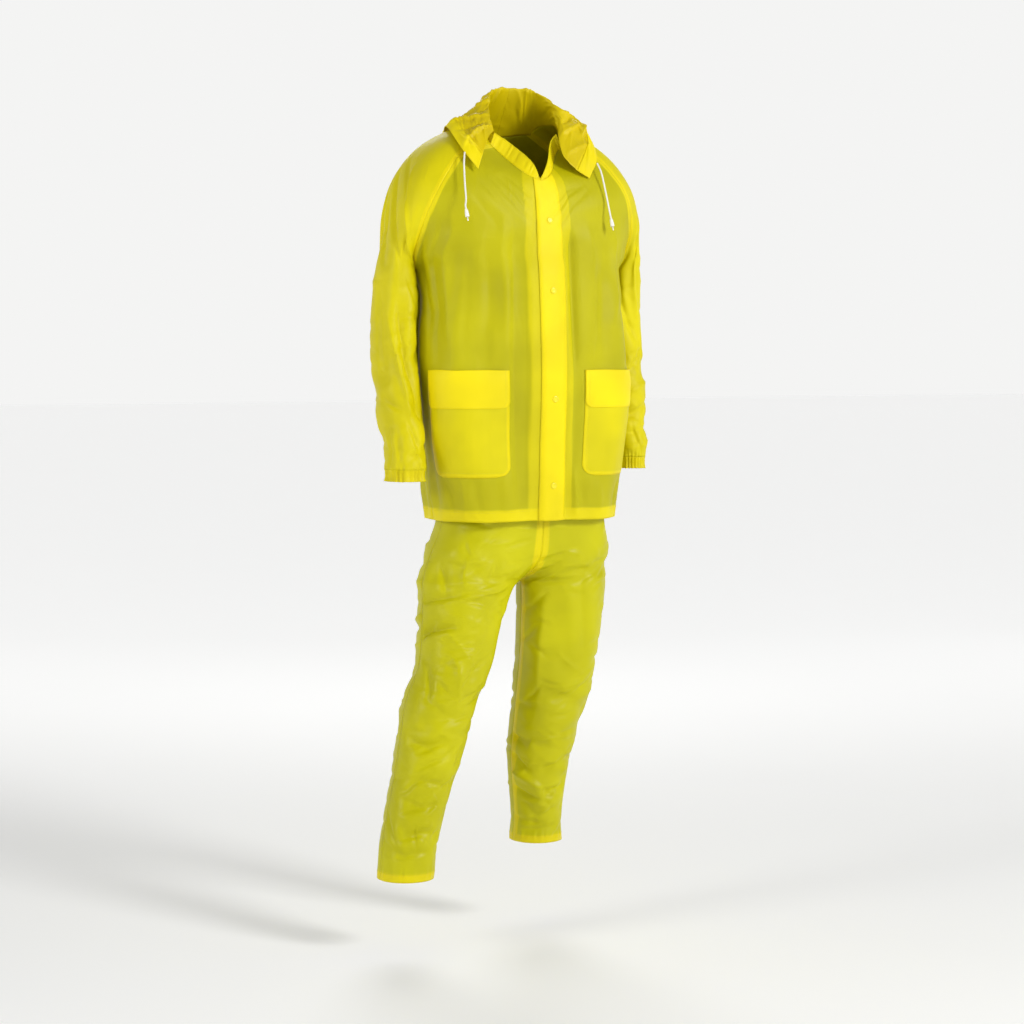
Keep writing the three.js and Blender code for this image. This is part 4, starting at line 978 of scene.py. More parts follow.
def wire(tree: bpy.types.NodeTree, node: bpy.types.Node, settings: dict, links: dict) -> None:
    """Sets up a shader node.

    Args:
        tree: The tree that it is in.
        node: The node.
        settings: Values of its properties and inputs, by name or, for an input, by number.
        links: Sockets to link to its inputs, by the input's name or number.
    """
    for name, value in settings.items():
        if isinstance(name, str) and hasattr(node, name):
            setattr(node, name, value)
        else:
            node.inputs[name].default_value = value
    for name, socket in links.items():
        tree.links.new(socket, node.inputs[name])


def add_node(
    tree: bpy.types.NodeTree, kind: str, settings: dict | None = None, links: dict | None = None,
) -> bpy.types.Node:
    """New shader node.

    Args:
        tree: The tree that it is added to.
        kind: Name of the node type.
        settings: Values of its properties and inputs.
        links: Sockets to link to its inputs.

    Returns:
        The node.
    """
    node = tree.nodes.new(kind)
    wire(tree, node, settings or {}, links or {})
    return node


def per_metre(size: float) -> float:
    """Scale of a texture on metre coordinates whose features are a size in millimetres."""
    return 1000 / size


@dataclass(frozen=True)
class Finish:
    """Shared part of every finish: its name, and one material made once."""

    name: str

    def dress(self, tree: bpy.types.NodeTree, shader: bpy.types.Node) -> None:
        """Sets the shader up; each finish has its own."""

    def material(self) -> bpy.types.Material:
        """The finish's material, made at its first use."""
        made = bpy.data.materials.get(self.name)
        if made is None:
            made = bpy.data.materials.new(self.name)
            made.use_nodes = True
            self.dress(made.node_tree, made.node_tree.nodes["Principled BSDF"])
        return made


@dataclass(frozen=True)
class FilmFinish(Finish):
    """Calendered PVC film: soft, slightly greasy gloss, with light that passes through it at its edges.

    Attributes:
        single: Colour of one layer.
        double: Colour where two layers lie on each other and less shows through.
        roughness: Mean roughness.
        crumple: Depth in millimetres of the small crumples that break up its highlights.
        through: Share of the light that comes through the film.
        stretch: How often the crumples repeat along each axis, beside their usual size.
        gloss: Specular level, low because the film's surface is slightly greasy.
        patch: Size in millimetres of its cloudy patches.
        wrinkle: Size of its crumples.
        grain: Size of its calendered grain.
    """

    single: str
    double: str
    roughness: float = 0.52
    crumple: float = 0.5
    through: float = 0.12
    stretch: tuple[float, float, float] = (1.0, 1.0, 1.0)
    gloss: float = 0.24
    patch: float = 110.0
    wrinkle: float = 34.0
    grain: float = 1.4

    def dress(self, tree: bpy.types.NodeTree, shader: bpy.types.Node) -> None:
        """Builds colour by layers, crumpled highlights and a fine calendered grain.

        Args:
            tree: The material's tree.
            shader: Its Principled shader.
        """
        node = partial(add_node, tree)
        place = node("ShaderNodeTexCoord").outputs["Object"]
        layers = node("ShaderNodeAttribute", {"attribute_name": "double_film"}).outputs["Fac"]
        colours = {"data_type": "RGBA", 6: linear(self.single), 7: linear(self.double)}
        body = node("ShaderNodeMix", colours, {0: layers})
        # Plasticiser makes the film a little cloudy in patches a hand wide
        cloud = node("ShaderNodeTexNoise", {"Scale": per_metre(self.patch), "Detail": 2.0}, {"Vector": place})
        middle = {"From Min": 0.3, "From Max": 0.7}
        clear = {**middle, "To Min": 0.9, "To Max": 1.06}
        tone = node("ShaderNodeMapRange", clear, {"Value": cloud.outputs["Fac"]})
        cloudy = {0: body.outputs[2], "Scale": tone.outputs[0]}
        colour = node("ShaderNodeVectorMath", {"operation": "SCALE"}, cloudy).outputs[0]
        drawn = node("ShaderNodeMapping", {"Scale": self.stretch}, {"Vector": place})
        ridges = {"noise_type": "RIDGED_MULTIFRACTAL", "Scale": per_metre(self.wrinkle), "Detail": 2.0}
        crumples = node("ShaderNodeTexNoise", {**ridges, "Distortion": 0.8}, {"Vector": drawn.outputs[0]})
        grain = node("ShaderNodeTexNoise", {"Scale": per_metre(self.grain), "Detail": 1.0}, {"Vector": place})
        deep = {"Strength": 1.0, "Distance": self.crumple / 1000}
        broad = node("ShaderNodeBump", deep, {"Height": crumples.outputs["Fac"]})
        pressed = {"Height": grain.outputs["Fac"], "Normal": broad.outputs["Normal"]}
        fine = node("ShaderNodeBump", {"Strength": 0.5, "Distance": 0.00002}, pressed)
        rough = {**middle, "To Min": self.roughness - 0.06, "To Max": self.roughness + 0.08}
        handled = node("ShaderNodeMapRange", rough, {"Value": cloud.outputs["Fac"]})
        normal = fine.outputs["Normal"]
        settings = {"IOR": PLASTIC_IOR, "Specular IOR Level": self.gloss}
        links = {"Base Color": colour, "Roughness": handled.outputs[0], "Normal": normal}
        wire(tree, shader, settings, links)
        glow = node("ShaderNodeBsdfTranslucent", {}, {"Color": colour, "Normal": normal})
        both = node("ShaderNodeMixShader", {"Fac": self.through}, {1: shader.outputs[0], 2: glow.outputs[0]})
        wire(tree, tree.nodes["Material Output"], {}, {"Surface": both.outputs[0]})


@dataclass(frozen=True)
class PlasticFinish(Finish):
    """Injection moulded plastic of the snaps and cord tips: smooth, with a faint moulding ripple.

    Attributes:
        colour: Its colour.
        roughness: Its roughness.
        ripple: Size in millimetres of the ripple.
    """

    colour: str
    roughness: float = 0.32
    ripple: float = 3.0

    def dress(self, tree: bpy.types.NodeTree, shader: bpy.types.Node) -> None:
        """Sets an even colour and a faint ripple.

        Args:
            tree: The material's tree.
            shader: Its Principled shader.
        """
        node = partial(add_node, tree)
        place = node("ShaderNodeTexCoord").outputs["Object"]
        waves = {"Scale": per_metre(self.ripple), "Detail": 1.0}
        ripple = node("ShaderNodeTexNoise", waves, {"Vector": place}).outputs["Fac"]
        bump = node("ShaderNodeBump", {"Strength": 0.3, "Distance": 0.00005}, {"Height": ripple})
        settings = {"Base Color": linear(self.colour), "Roughness": self.roughness, "IOR": PLASTIC_IOR}
        wire(tree, shader, settings, {"Normal": bump.outputs["Normal"]})


@dataclass(frozen=True)
class BraidFinish(Finish):
    """Braided polyester cord: matt white yarns that cross each other on the slant.

    Attributes:
        colour: Colour of the yarns.
        shade: Painted shade of the gaps between them, a darker colour that stands in for the shade between
            the yarns.
        yarn: Width of a yarn in millimetres.
        roughness: Their roughness.
    """

    colour: str
    shade: str
    yarn: float = 1.1
    roughness: float = 0.85

    def dress(self, tree: bpy.types.NodeTree, shader: bpy.types.Node) -> None:
        """Paints shade into the gaps between slanting yarns, and sinks them.

        Args:
            tree: The material's tree.
            shader: Its Principled shader.
        """
        node = partial(add_node, tree)
        place = node("ShaderNodeTexCoord").outputs["Object"]
        # The wave's phase is ten times its scaled place, so one yarn is half a turn
        turns = {"Scale": per_metre(self.yarn) * math.pi / 10, "Distortion": 0.4}
        slant = {"bands_direction": "DIAGONAL", **turns}
        bands = node("ShaderNodeTexWave", slant, {"Vector": place}).outputs["Fac"]
        # The gaps between the yarns take the darker colour, which is painted shade
        colours = {"data_type": "RGBA", 6: linear(self.shade), 7: linear(self.colour)}
        body = node("ShaderNodeMix", colours, {0: bands})
        bump = node("ShaderNodeBump", {"Strength": 0.8, "Distance": 0.0002}, {"Height": bands})
        links = {"Base Color": body.outputs[2], "Normal": bump.outputs["Normal"]}
        wire(tree, shader, {"Roughness": self.roughness}, links)


@dataclass(frozen=True)
class FloorFinish(Finish):
    """Painted studio floor: pale, matt and a little uneven.

    Attributes:
        colour: Colour of the paint.
        near: Distance in metres from the middle of the floor at which its glow begins.
        far: Distance at which it is full.
        glow: Strength of the full glow.
        patch: Size in millimetres of its uneven patches.
    """

    colour: str
    near: float = 1.4
    far: float = 5.6
    glow: float = 0.5
    patch: float = 400.0

    def dress(self, tree: bpy.types.NodeTree, shader: bpy.types.Node) -> None:
        """Sets the pale paint, and lights it towards the distance so that it meets the wall without an edge.

        Args:
            tree: The material's tree.
            shader: Its Principled shader.
        """
        node = partial(add_node, tree)
        place = node("ShaderNodeTexCoord").outputs["Object"]
        noise = node("ShaderNodeTexNoise", {"Scale": per_metre(self.patch), "Detail": 3.0}, {"Vector": place})
        rough = node("ShaderNodeMapRange", {"To Min": 0.5, "To Max": 0.7}, {"Value": noise.outputs["Fac"]})
        away = node("ShaderNodeVectorMath", {"operation": "LENGTH"}, {0: place}).outputs["Value"]
        reach = {"From Min": self.near, "From Max": self.far, "To Max": self.glow}
        glow = node("ShaderNodeMapRange", {"interpolation_type": "SMOOTHSTEP", **reach}, {"Value": away})
        settings = {"Base Color": linear(self.colour), "Emission Color": linear("#FFFFFF")}
        wire(tree, shader, settings, {"Emission Strength": glow.outputs[0], "Roughness": rough.outputs[0]})


HANGING = (1.5, 1.5, 0.45)
BUNCHED = (0.7, 0.7, 1.6)
TORSO_FILM = FilmFinish("calendered PVC film, body", "#C1BA00", "#EADA00", crumple=0.8, stretch=HANGING)
SLEEVE_FILM = FilmFinish("calendered PVC film, sleeves", "#E0D300", "#F0DE00", crumple=0.9, stretch=HANGING)
TROUSER_FILM = FilmFinish(
    "calendered PVC film, trousers", "#CDC800", "#EADA00", roughness=0.42, crumple=1.3, stretch=BUNCHED,
)
HOOD_FILM = FilmFinish("calendered PVC film, hood", "#DCC500", "#F0DA00", roughness=0.46, crumple=1.8)
DOUBLE_FILM = FilmFinish("calendered PVC film, two layers", "#F0DC00", "#F2DE00", through=0.08)
SNAP_PLASTIC = PlasticFinish("moulded acetal snap", "#EAD90E")
TIP_PLASTIC = PlasticFinish("moulded nylon cord tip", "#ECEAE2", 0.4)
# The cord's second colour is the painted shade of the gaps between its yarns
CORD_BRAID = BraidFinish("braided polyester cord", "#F2F1EC", "#DEDCD4")
SEAM_THREAD = PlasticFinish("polyester seam thread", "#D6CB18", 0.6)
STUDIO_FLOOR = FloorFinish("matt studio floor", "#F8F8F7")


def place_piece(piece: bpy.types.Object, finish: Finish, slot: str, *nodes: str) -> bpy.types.Object:
    """Dresses a piece and puts it in the row's frame.

    Args:
        piece: The new object.
        finish: What it is made of.
        slot: Not used.
        nodes: The CAD nodes that it stands for.

    Returns:
        The same object.
    """
    piece.data.materials.append(finish.material())
    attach(piece, BODY_NAME)
    if nodes:
        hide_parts(*nodes)
    log.info("%s: %d faces", piece.name, len(piece.data.polygons))
    return piece


def add_solid(
    name: str, shape: tuple[Array, Array], finish: Finish, slot: str, node: str,
) -> bpy.types.Object:
    """Makes a turned or drawn piece that stands for a CAD node.

    Args:
        name: Name of the piece.
        shape: Its vertices and quads.
        finish: What it is made of.
        slot: Name of one of the record's slots, handed on to place_piece.
        node: The CAD node.

    Returns:
        The object.
    """
    piece = add_mesh(name, *shape)
    merge_doubles(piece)
    return place_piece(piece, finish, slot, node)


def declare_cut(points: Array) -> None:
    """Works out the size of the film that a piece is cut from; the size is not used.

    The cut is as wide as the widest row of the grid laid flat and as long as its columns are on average,
    up to the next 10 mm.

    Args:
        points: The grid that it follows.
    """
    width = math.ceil(arc(points, 1)[:, -1].max() / 10) / 100
    length = math.ceil(arc(points, 0)[-1].mean() / 10) / 100


def add_sheet(
    node: str, points: Array, normals: Array, double: Array, finish: Finish, slot: str, ring: bool = False,
) -> None:
    """Makes a piece of film that stands for a CAD node, and declares its cut.

    It is a closed wall between a grid of outside points and the same points set in along the normals.

    Args:
        node: The CAD node.
        points: Outside points.
        normals: Outward normals.
        double: How double the film is at each point.
        finish: What it is made of.
        slot: Name of one of the record's slots, handed on to place_piece.
        ring: Whether it is a gathered ring, whose last column joins the first.
    """
    rows, count = points.shape[:2]
    vertices = np.concatenate([points.reshape(-1, 3), (points - normals * FILM).reshape(-1, 3)])
    layers = {"double_film": np.tile(double.ravel(), 2)}
    piece = add_mesh(f"{node}_film", vertices, wall_faces(rows, count, ring), layers)
    place_piece(piece, finish, slot, node)
    if ring:
        declare_cut(np.concatenate([points, points[:, :1]], 1))
    else:
        declare_cut(points)


@dataclass
class Threads:
    """Rows of stitches beside the seams and hems of one garment.

    Attributes:
        name: Name of the piece that they make together.
        points: Vertices of each row.
        faces: Triangles of each row.
    """

    name: str
    points: list[Array] = field(default_factory=list)
    faces: list[Array] = field(default_factory=list)

    def sew(self, line: Array, normals: Array) -> None:
        """Adds a row of stitches along a line on the film.

        Each stitch is a spindle of six points: its two ends, sunk in the film, and four points round its
        middle.

        Args:
            line: Points along the seam.
            normals: Outward normals there.
        """
        length = arc(line[None], 1)[0]
        count = int(length[-1] / STITCH)
        if count < 2:
            return
        marks = np.linspace(0, length[-1], count + 1)
        at = np.stack([np.interp(marks, length, line[:, k]) for k in range(3)], -1)
        out = unit(np.stack([np.interp(marks, length, normals[:, k]) for k in range(3)], -1))
        start, stop = at[:-1], mix(at[:-1], at[1:], STITCH_SHARE)
        middle = (start + stop) / 2 + out[:-1] * THREAD * THREAD_LIFT
        along = unit(stop - start)
        side = unit(np.cross(along, out[:-1]))
        ring = [side, out[:-1], -side, -out[:-1]]
        points = np.stack([start, stop] + [middle + r * THREAD for r in ring], 1)
        near = [(0, 2 + (k + 1) % 4, 2 + k) for k in range(4)]
        far = [(1, 2 + k, 2 + (k + 1) % 4) for k in range(4)]
        first = sum(len(row) for row in self.points) + 6 * np.arange(count)
        faces = np.array(near + far)[None] + first[:, None, None]
        self.points.append(points.reshape(-1, 3))
        self.faces.append(faces.reshape(-1, 3))

    def build(self) -> None:
        """Makes one piece of all the stitches."""
        piece = add_mesh(self.name, np.concatenate(self.points), np.concatenate(self.faces))
        place_piece(piece, SEAM_THREAD, "film_double")


def raglan_seam(side: Side, face: Face, station: Array | float) -> Array:
    """Points of a raglan seam at cap stations, in front or behind."""
    names = [face.label + axis for axis in "XYZ"]
    return from_shoulder(side, spline(columns(CAP_SEAMS, *names), station))


def panel_edge(side: Side, face: Face, level: Array) -> Array:
    """Edge of a front or back panel away from its centre: the side seam, then the raglan seam."""
    level = np.asarray(level, float)
    low = spline(columns(BODY, side.label + "X", "sideY", "z"), np.minimum(level, ARMPIT_LEVEL))
    high = raglan_seam(side, face, NECK_LEVEL - level)
    return np.where((level > ARMPIT_LEVEL)[:, None], high, low)


def leave_directions(side: Side, face: Face) -> Array:
    """Directions in which a sleeve leaves its raglan seam, one for each station."""
    return unit(columns(CAP_SHAPE, "leaveX", "leaveY", "leaveZ") * (side.value, -face.value, 1))


def body_handles(side: Side, face: Face) -> Array:
    """Handles of the half sections of the front or back.

    Args:
        side: Side of the wearer.
        face: Front or back.

    Returns:
        Four handles for each level from hem to neck, shaped (16, 4, 3).
    """
    low = np.arange(ARMPIT_LEVEL + 1)
    centre = columns(BODY, face.label + "X", face.label + "Y", "z")
    edge = panel_edge(side, face, low)
    bulge = BODY[side.label + "Bulge"] * (1 if face is Face.FRONT else BACK_BULGE)
    handle = centre.copy()
    handle[:, 0] = mix(centre[:, 0], edge[:, 0], CENTRE_HANDLE)
    corner = edge + np.stack([side.value * bulge, face.value * BODY["reach"], 0 * bulge], -1)
    levels = np.stack([centre, handle, corner, edge], 1)
    folded = unit(edge[-1] - corner[-1])

    stations = np.arange(ARMPIT_STATION - 1, -1, -1)
    part = "centreFront" if face is Face.FRONT else "centreBack"
    seam = columns(CAP_SEAMS, part + "Y", part + "Z")[stations]
    centre = np.concatenate([np.full((len(stations), 1), SHOULDER_CENTRE), seam], 1)
    edge = raglan_seam(side, face, stations)
    smooth = np.minimum(stations, SMOOTH_STATION)
    step = raglan_seam(side, face, smooth + 1) - raglan_seam(side, face, np.maximum(smooth - 1, 0))
    along = unit(step)
    leave = leave_directions(side, face)[smooth]
    arrival = unit(leave * -along[:, 2:] + along * leave[:, 2:])
    arrival = unit(mix(arrival, folded, CAP_SHAPE["crease"][stations, None]))
    corner = edge - arrival * CAP_SHAPE["arrive"][stations, None]
    if face is Face.FRONT:
        corner[:, 2] -= CAP_SHAPE["drop"][stations]
    handle = np.stack([
        mix(centre[:, 0], edge[:, 0], CENTRE_HANDLE),
        centre[:, 1],
        mix(centre[:, 2], edge[:, 2], CENTRE_RISE),
    ], -1)
    return np.concatenate([levels, np.stack([centre, handle, corner, edge], 1)])


def sleeve_handles(side: Side, face: Face) -> Array:
    """Handles of one half section of a sleeve, for each station from the neck to the cuff.

    Args:
        side: Side of the wearer.
        face: The half in front or the one behind.

    Returns:
        Handles, shaped (15, 4, 3).
    """
    seam = raglan_seam(side, face, np.arange(ARMPIT_STATION + 1))
    out = from_shoulder(side, columns(CAP_SHAPE, "outX", "outY", "outZ"))
    first = seam + leave_directions(side, face) * CAP_SHAPE["reach"][:, None]
    second = out + CAP_SHAPE["crown"][:, None] * (0, face.value, 0)
    cap = np.stack([seam, first, second, out], 1)
    arm = ARMS[side]
    reach = HALF_ELLIPSE * arm["deep"][:, None] * np.array((0, face.value, 0))
    inner = from_shoulder(side, np.stack([arm["out"] - arm["wide"], arm["y"], arm["z"]], -1))
    outer = from_shoulder(side, np.stack([arm["out"] + arm["wide"], arm["y"], arm["z"]], -1))
    return np.concatenate([cap, np.stack([inner, inner + reach, outer + reach, outer], 1)])


@dataclass
class JacketPattern:
    """Grids of the jacket's panels, shared by the pieces that are made from them.

    Attributes:
        front_columns: Cells across each front.
        back_columns: Cells across each half of the back.
        sleeve_columns: Cells round each sleeve.
        hood_rows: Cells from the hood's neck seam to its brim.
        seam_band: Width of the double film beside a raglan seam.
        hem_depth: Depth of the turned hem.
        facing: Width of the facing behind the left front's edge.
        raise_double: How far double film stands out.
        body_gain: How much deeper the creases of the front and back are than their table says.
        sleeve_gain: The same for the sleeves.
        hood_gain: The same for the hood.
        hood_margin: Share of the hood above its neck seam over which its creases begin.
        sleeve_scatter: Small creases of the sleeves, thickest where they crumple most.
        hood_scatter: Small creases of the hood, with heights counted from its neck seam.
        hood_brim: Depth of the double film inside the hood's brim.
        neckband_rows: Points up the neckband.
        panels: The grids, by part and side.
    """

    front_columns: int = 78
    back_columns: int = 54
    sleeve_columns: int = 96
    hood_rows: int = 84
    seam_band: float = 8.0
    hem_depth: float = 21.0
    facing: dict[Side, float] = field(default_factory=lambda: {Side.RIGHT: 40.0, Side.LEFT: 55.0})
    raise_double: float = 0.45
    body_gain: float = 2.2
    sleeve_gain: float = 2.4
    hood_gain: float = 2.1
    hood_margin: float = 0.1
    sleeve_scatter: Scatter = Scatter(70, ((1130, 50), (1010, 45), (940, 20), (1260, 60)), 0.35, 2.6)
    hood_scatter: Scatter = Scatter(110, ((110, 60), (210, 60)), 0.9, 2.6)
    hood_brim: float = 34.0
    neckband_rows: int = 9
    panels: dict[str, Panel] = field(default_factory=dict)

    def __post_init__(self) -> None:
        """Chooses the rows, makes every grid and joins their normals."""
        body = np.linspace(0, ARMPIT_LEVEL, SAMPLES)
        self.low = even_places(spline(columns(BODY, "frontX", "frontY", "z"), body), body, SPACING)
        cap = np.linspace(0, ARMPIT_STATION, SAMPLES)
        self.cap = even_places(raglan_seam(Side.LEFT, Face.FRONT, cap), cap, SPACING)
        self.levels = np.concatenate([self.low[:-1], NECK_LEVEL - self.cap[::-1]])
        for side in Side:
            self.make_front(side)
            self.make_sleeve(side)
        self.make_back()
        for side in Side:
            self.make_hood(side)
            self.make_neckband(side)
        weld_normals(list(self.panels.values()))
        for panel in self.panels.values():
            panel.move_out(panel.double * self.raise_double)

    def panel(self, part: str, side: Side) -> Panel:
        """The grid of a part on one side."""
        return self.panels[f"{part}_{side.label}"]

    def column(self, side: Side, place: Array | float) -> Array:
        """Fractional column of a front's grid at a column of the CAD part."""
        across = self.panel("front", side).across * FRONT_COLUMNS
        return np.interp(place, across, np.arange(len(across)))

    def row(self, level: Array) -> Array:
        """Fractional row of a front's grid at a level."""
        return np.interp(level, self.levels, np.arange(len(self.levels)))

    def sections(self, side: Side, face: Face) -> Array:
        """Handles of the half sections of the front or back at every row of the grids."""
        handles = spline(body_handles(side, face), self.levels)
        handles[:, 3] = panel_edge(side, face, self.levels)
        return handles

    def allowances(self, panel: Panel) -> Array:
        """How double a front or half back is, beside its raglan seam and in its hem."""
        across = arc(panel.points, 1)
        seam = band(across[:, -1:] - across, self.seam_band)
        seam[self.levels < ARMPIT_LEVEL] = 0
        return np.maximum(seam, band(arc(panel.points, 0), self.hem_depth))

    def make_front(self, side: Side) -> None:
        """Makes the grid of a front.

        The columns count from the centre front in the CAD part's own eleven steps, of which the first two
        are as wide as the storm flap.

        Args:
            side: Side of the wearer.
        """
        handles = self.sections(side, Face.FRONT)
        leave = np.linalg.norm(handles[:, 1] - handles[:, 0], axis=-1)
        flap = (FLAP_WIDTHS[side] / (3 * leave))[:, None]
        later = mix(flap, 1, np.array(FRONT_SPLITS[side]))
        splits = np.concatenate([0 * flap, flap / 2, flap, later], 1)
        share = np.linspace(0, 1, self.front_columns + 1)
        place = share * FRONT_COLUMNS
        index = np.minimum(place.astype(int), FRONT_COLUMNS - 1)
        shares = mix(splits[:, index], splits[:, index + 1], place - index)
        panel = Panel(cubic(handles, shares), side.value, share)
        panel.crease("front", side, CREASE_MARGIN, self.body_gain)
        facing = 0.55 * band(arc(panel.points, 1), self.facing[side])
        panel.double = np.maximum(self.allowances(panel), facing)
        self.panels["front_" + side.label] = panel

    def make_back(self) -> None:
        """Makes the grid of the back from its two halves."""
        halves = []
        doubles = []
        for side in Side:
            share = np.linspace(0, 1, self.back_columns + 1)
            shares = np.broadcast_to(share, (len(self.levels), len(share)))
            half = Panel(cubic(self.sections(side, Face.BACK), shares), -side.value, share)
            half.crease("back", side, CREASE_MARGIN, self.body_gain)
            halves.append(half.points)
            doubles.append(self.allowances(half))
        both = (halves, doubles)
        points, double = (np.concatenate([right[:, ::-1], left[:, 1:]], 1) for right, left in both)
        self.panels["back"] = Panel(points, -1, np.linspace(-1, 1, points.shape[1]), double)

    def make_sleeve(self, side: Side) -> None:
        """Makes the grid of a sleeve, from the front seam over the outside of the arm to the back seam.

        Args:
            side: Side of the wearer.
        """
        halves = [sleeve_handles(side, face) for face in Face]
        arm = np.linspace(ARMPIT_STATION, len(halves[0]) - 1, SAMPLES)
        middle = spline(halves[0][:, 3], arm)
        stations = np.concatenate([self.cap, even_places(middle, arm, SPACING)[1:]])
        fine = [spline(half, stations) for half in halves]
        cap = stations < ARMPIT_STATION
        seam = (fine[0][:, 0] + fine[1][:, 0]) / 2
        for face, half in zip(Face, fine):
            on_seam = raglan_seam(side, face, np.minimum(stations, ARMPIT_STATION))
            half[:, 0] = np.where(cap[:, None], on_seam, seam)
        count = self.sleeve_columns // 2
        share = np.broadcast_to(np.linspace(0, 1, count + 1), (len(stations), count + 1))
        front, back = (cubic(half, share) for half in fine)
        points = np.concatenate([front, back[:, -2::-1]], 1)
        place = np.linspace(0, 1, points.shape[1])
        panel = Panel(points, -side.value, place)
        panel.own_from = len(self.cap) - 1
        panel.crease("sleeve", side, SLEEVE_MARGIN, self.sleeve_gain)
        small = self.sleeve_scatter.creases(SEED + 90 + 10 * side.value)
        panel.press(small, SPANS["sleeve"], SLEEVE_MARGIN, True)
        up = arc(panel.points, 0)
        wave = gathers(place, 23, SEED + side.value)
        panel.move_out(wave * 1.3 * np.exp(-((up[-1:] - up) / 13) ** 2))
        panel.points[:, -1] = np.where(cap[:, None], panel.points[:, -1], panel.points[:, 0])
        across = arc(panel.points, 1)
        panel.double = band(np.minimum(across, across[:, -1:] - across), self.seam_band)
        panel.double[stations > ARMPIT_STATION] = 0
        self.panels["sleeve_" + side.label] = panel

    def make_hood(self, side: Side) -> None:
        """Makes the grid of half the hood, which starts at the neck edge of the sleeve and the back.

        Args:
            side: Side of the wearer.
        """
        sleeve = self.panel("sleeve", side).points[0]
        back = self.panels["back"].points[-1]
        half = back[self.back_columns:] if side is Side.LEFT else back[:self.back_columns + 1][::-1]
        neck = np.concatenate([sleeve, half[::-1][1:]])
        place = np.concatenate([np.linspace(0, 3, len(sleeve)), np.linspace(3, 5, len(half))[1:]])
        profile = [neck]
        for part in ("crest", "fall", "bag", "brim"):
            rows = columns(HOODS[side], part + "X", part + "Y", part + "Z")
            profile.append(from_shoulder(side, spline(rows, place)))
        along = np.linspace(0, 1, self.hood_rows + 1)
        points = spline(np.stack(profile), 4 * along)
        share = np.linspace(0, 1, len(neck))
        panel = Panel(points, side.value, share)
        span = SPANS["hood"]
        rows = HOOD_CREASES[side]
        rows = rows | {name: rows[name] * span for name in ("along1", "along2")}
        small = self.hood_scatter.creases(SEED + 130 + 10 * side.value)
        height = along[:, None] * span
        depth = crease_depth(share, height, rows, span, True) * self.hood_gain
        depth += crease_depth(share, height, small, span, True)
        depth *= smooth_step(along / self.hood_margin)[:, None] * smooth_step((1 - share) / EDGE_MARGIN)
        panel.move_out(-depth)
        panel.normals = grid_normals(panel.points, panel.sign)
        up = arc(panel.points, 0)
        panel.double = 0.8 * band(up[-1:] - up, self.hood_brim)
        self.panels["hood_" + side.label] = panel

    def make_neckband(self, side: Side) -> None:
        """Makes the grid of half the neckband, up from the top edge of a front.

        Args:
            side: Side of the wearer.
        """
        seam = self.panel("front", side).points[-1]
        across = 3 * (seam[:, 0] - seam[0, 0]) / (seam[-1, 0] - seam[0, 0])
        rows = spline(columns(NECKBANDS[side], "inwards", "back", "up"), across) * (-side.value, 1, 1)
        share = np.linspace(0, 1, self.neckband_rows)
        points = seam + share[:, None, None] * rows
        panel = Panel(points, side.value, np.linspace(0, 1, len(seam)))
        ripple = gathers(panel.across, 9, SEED + 4 * side.value) * np.sin(np.pi * share[:, None] * 0.9) * 0.9
        panel.move_out(ripple)
        panel.normals = grid_normals(panel.points, panel.sign)
        panel.double = np.ones(points.shape[:2])
        self.panels["neckband_" + side.label] = panel


@dataclass
class JacketPart:
    """What every part of the jacket is made from.

    Attributes:
        pattern: The jacket's grids.
        threads: Where its stitches go.
    """

    pattern: JacketPattern
    threads: Threads


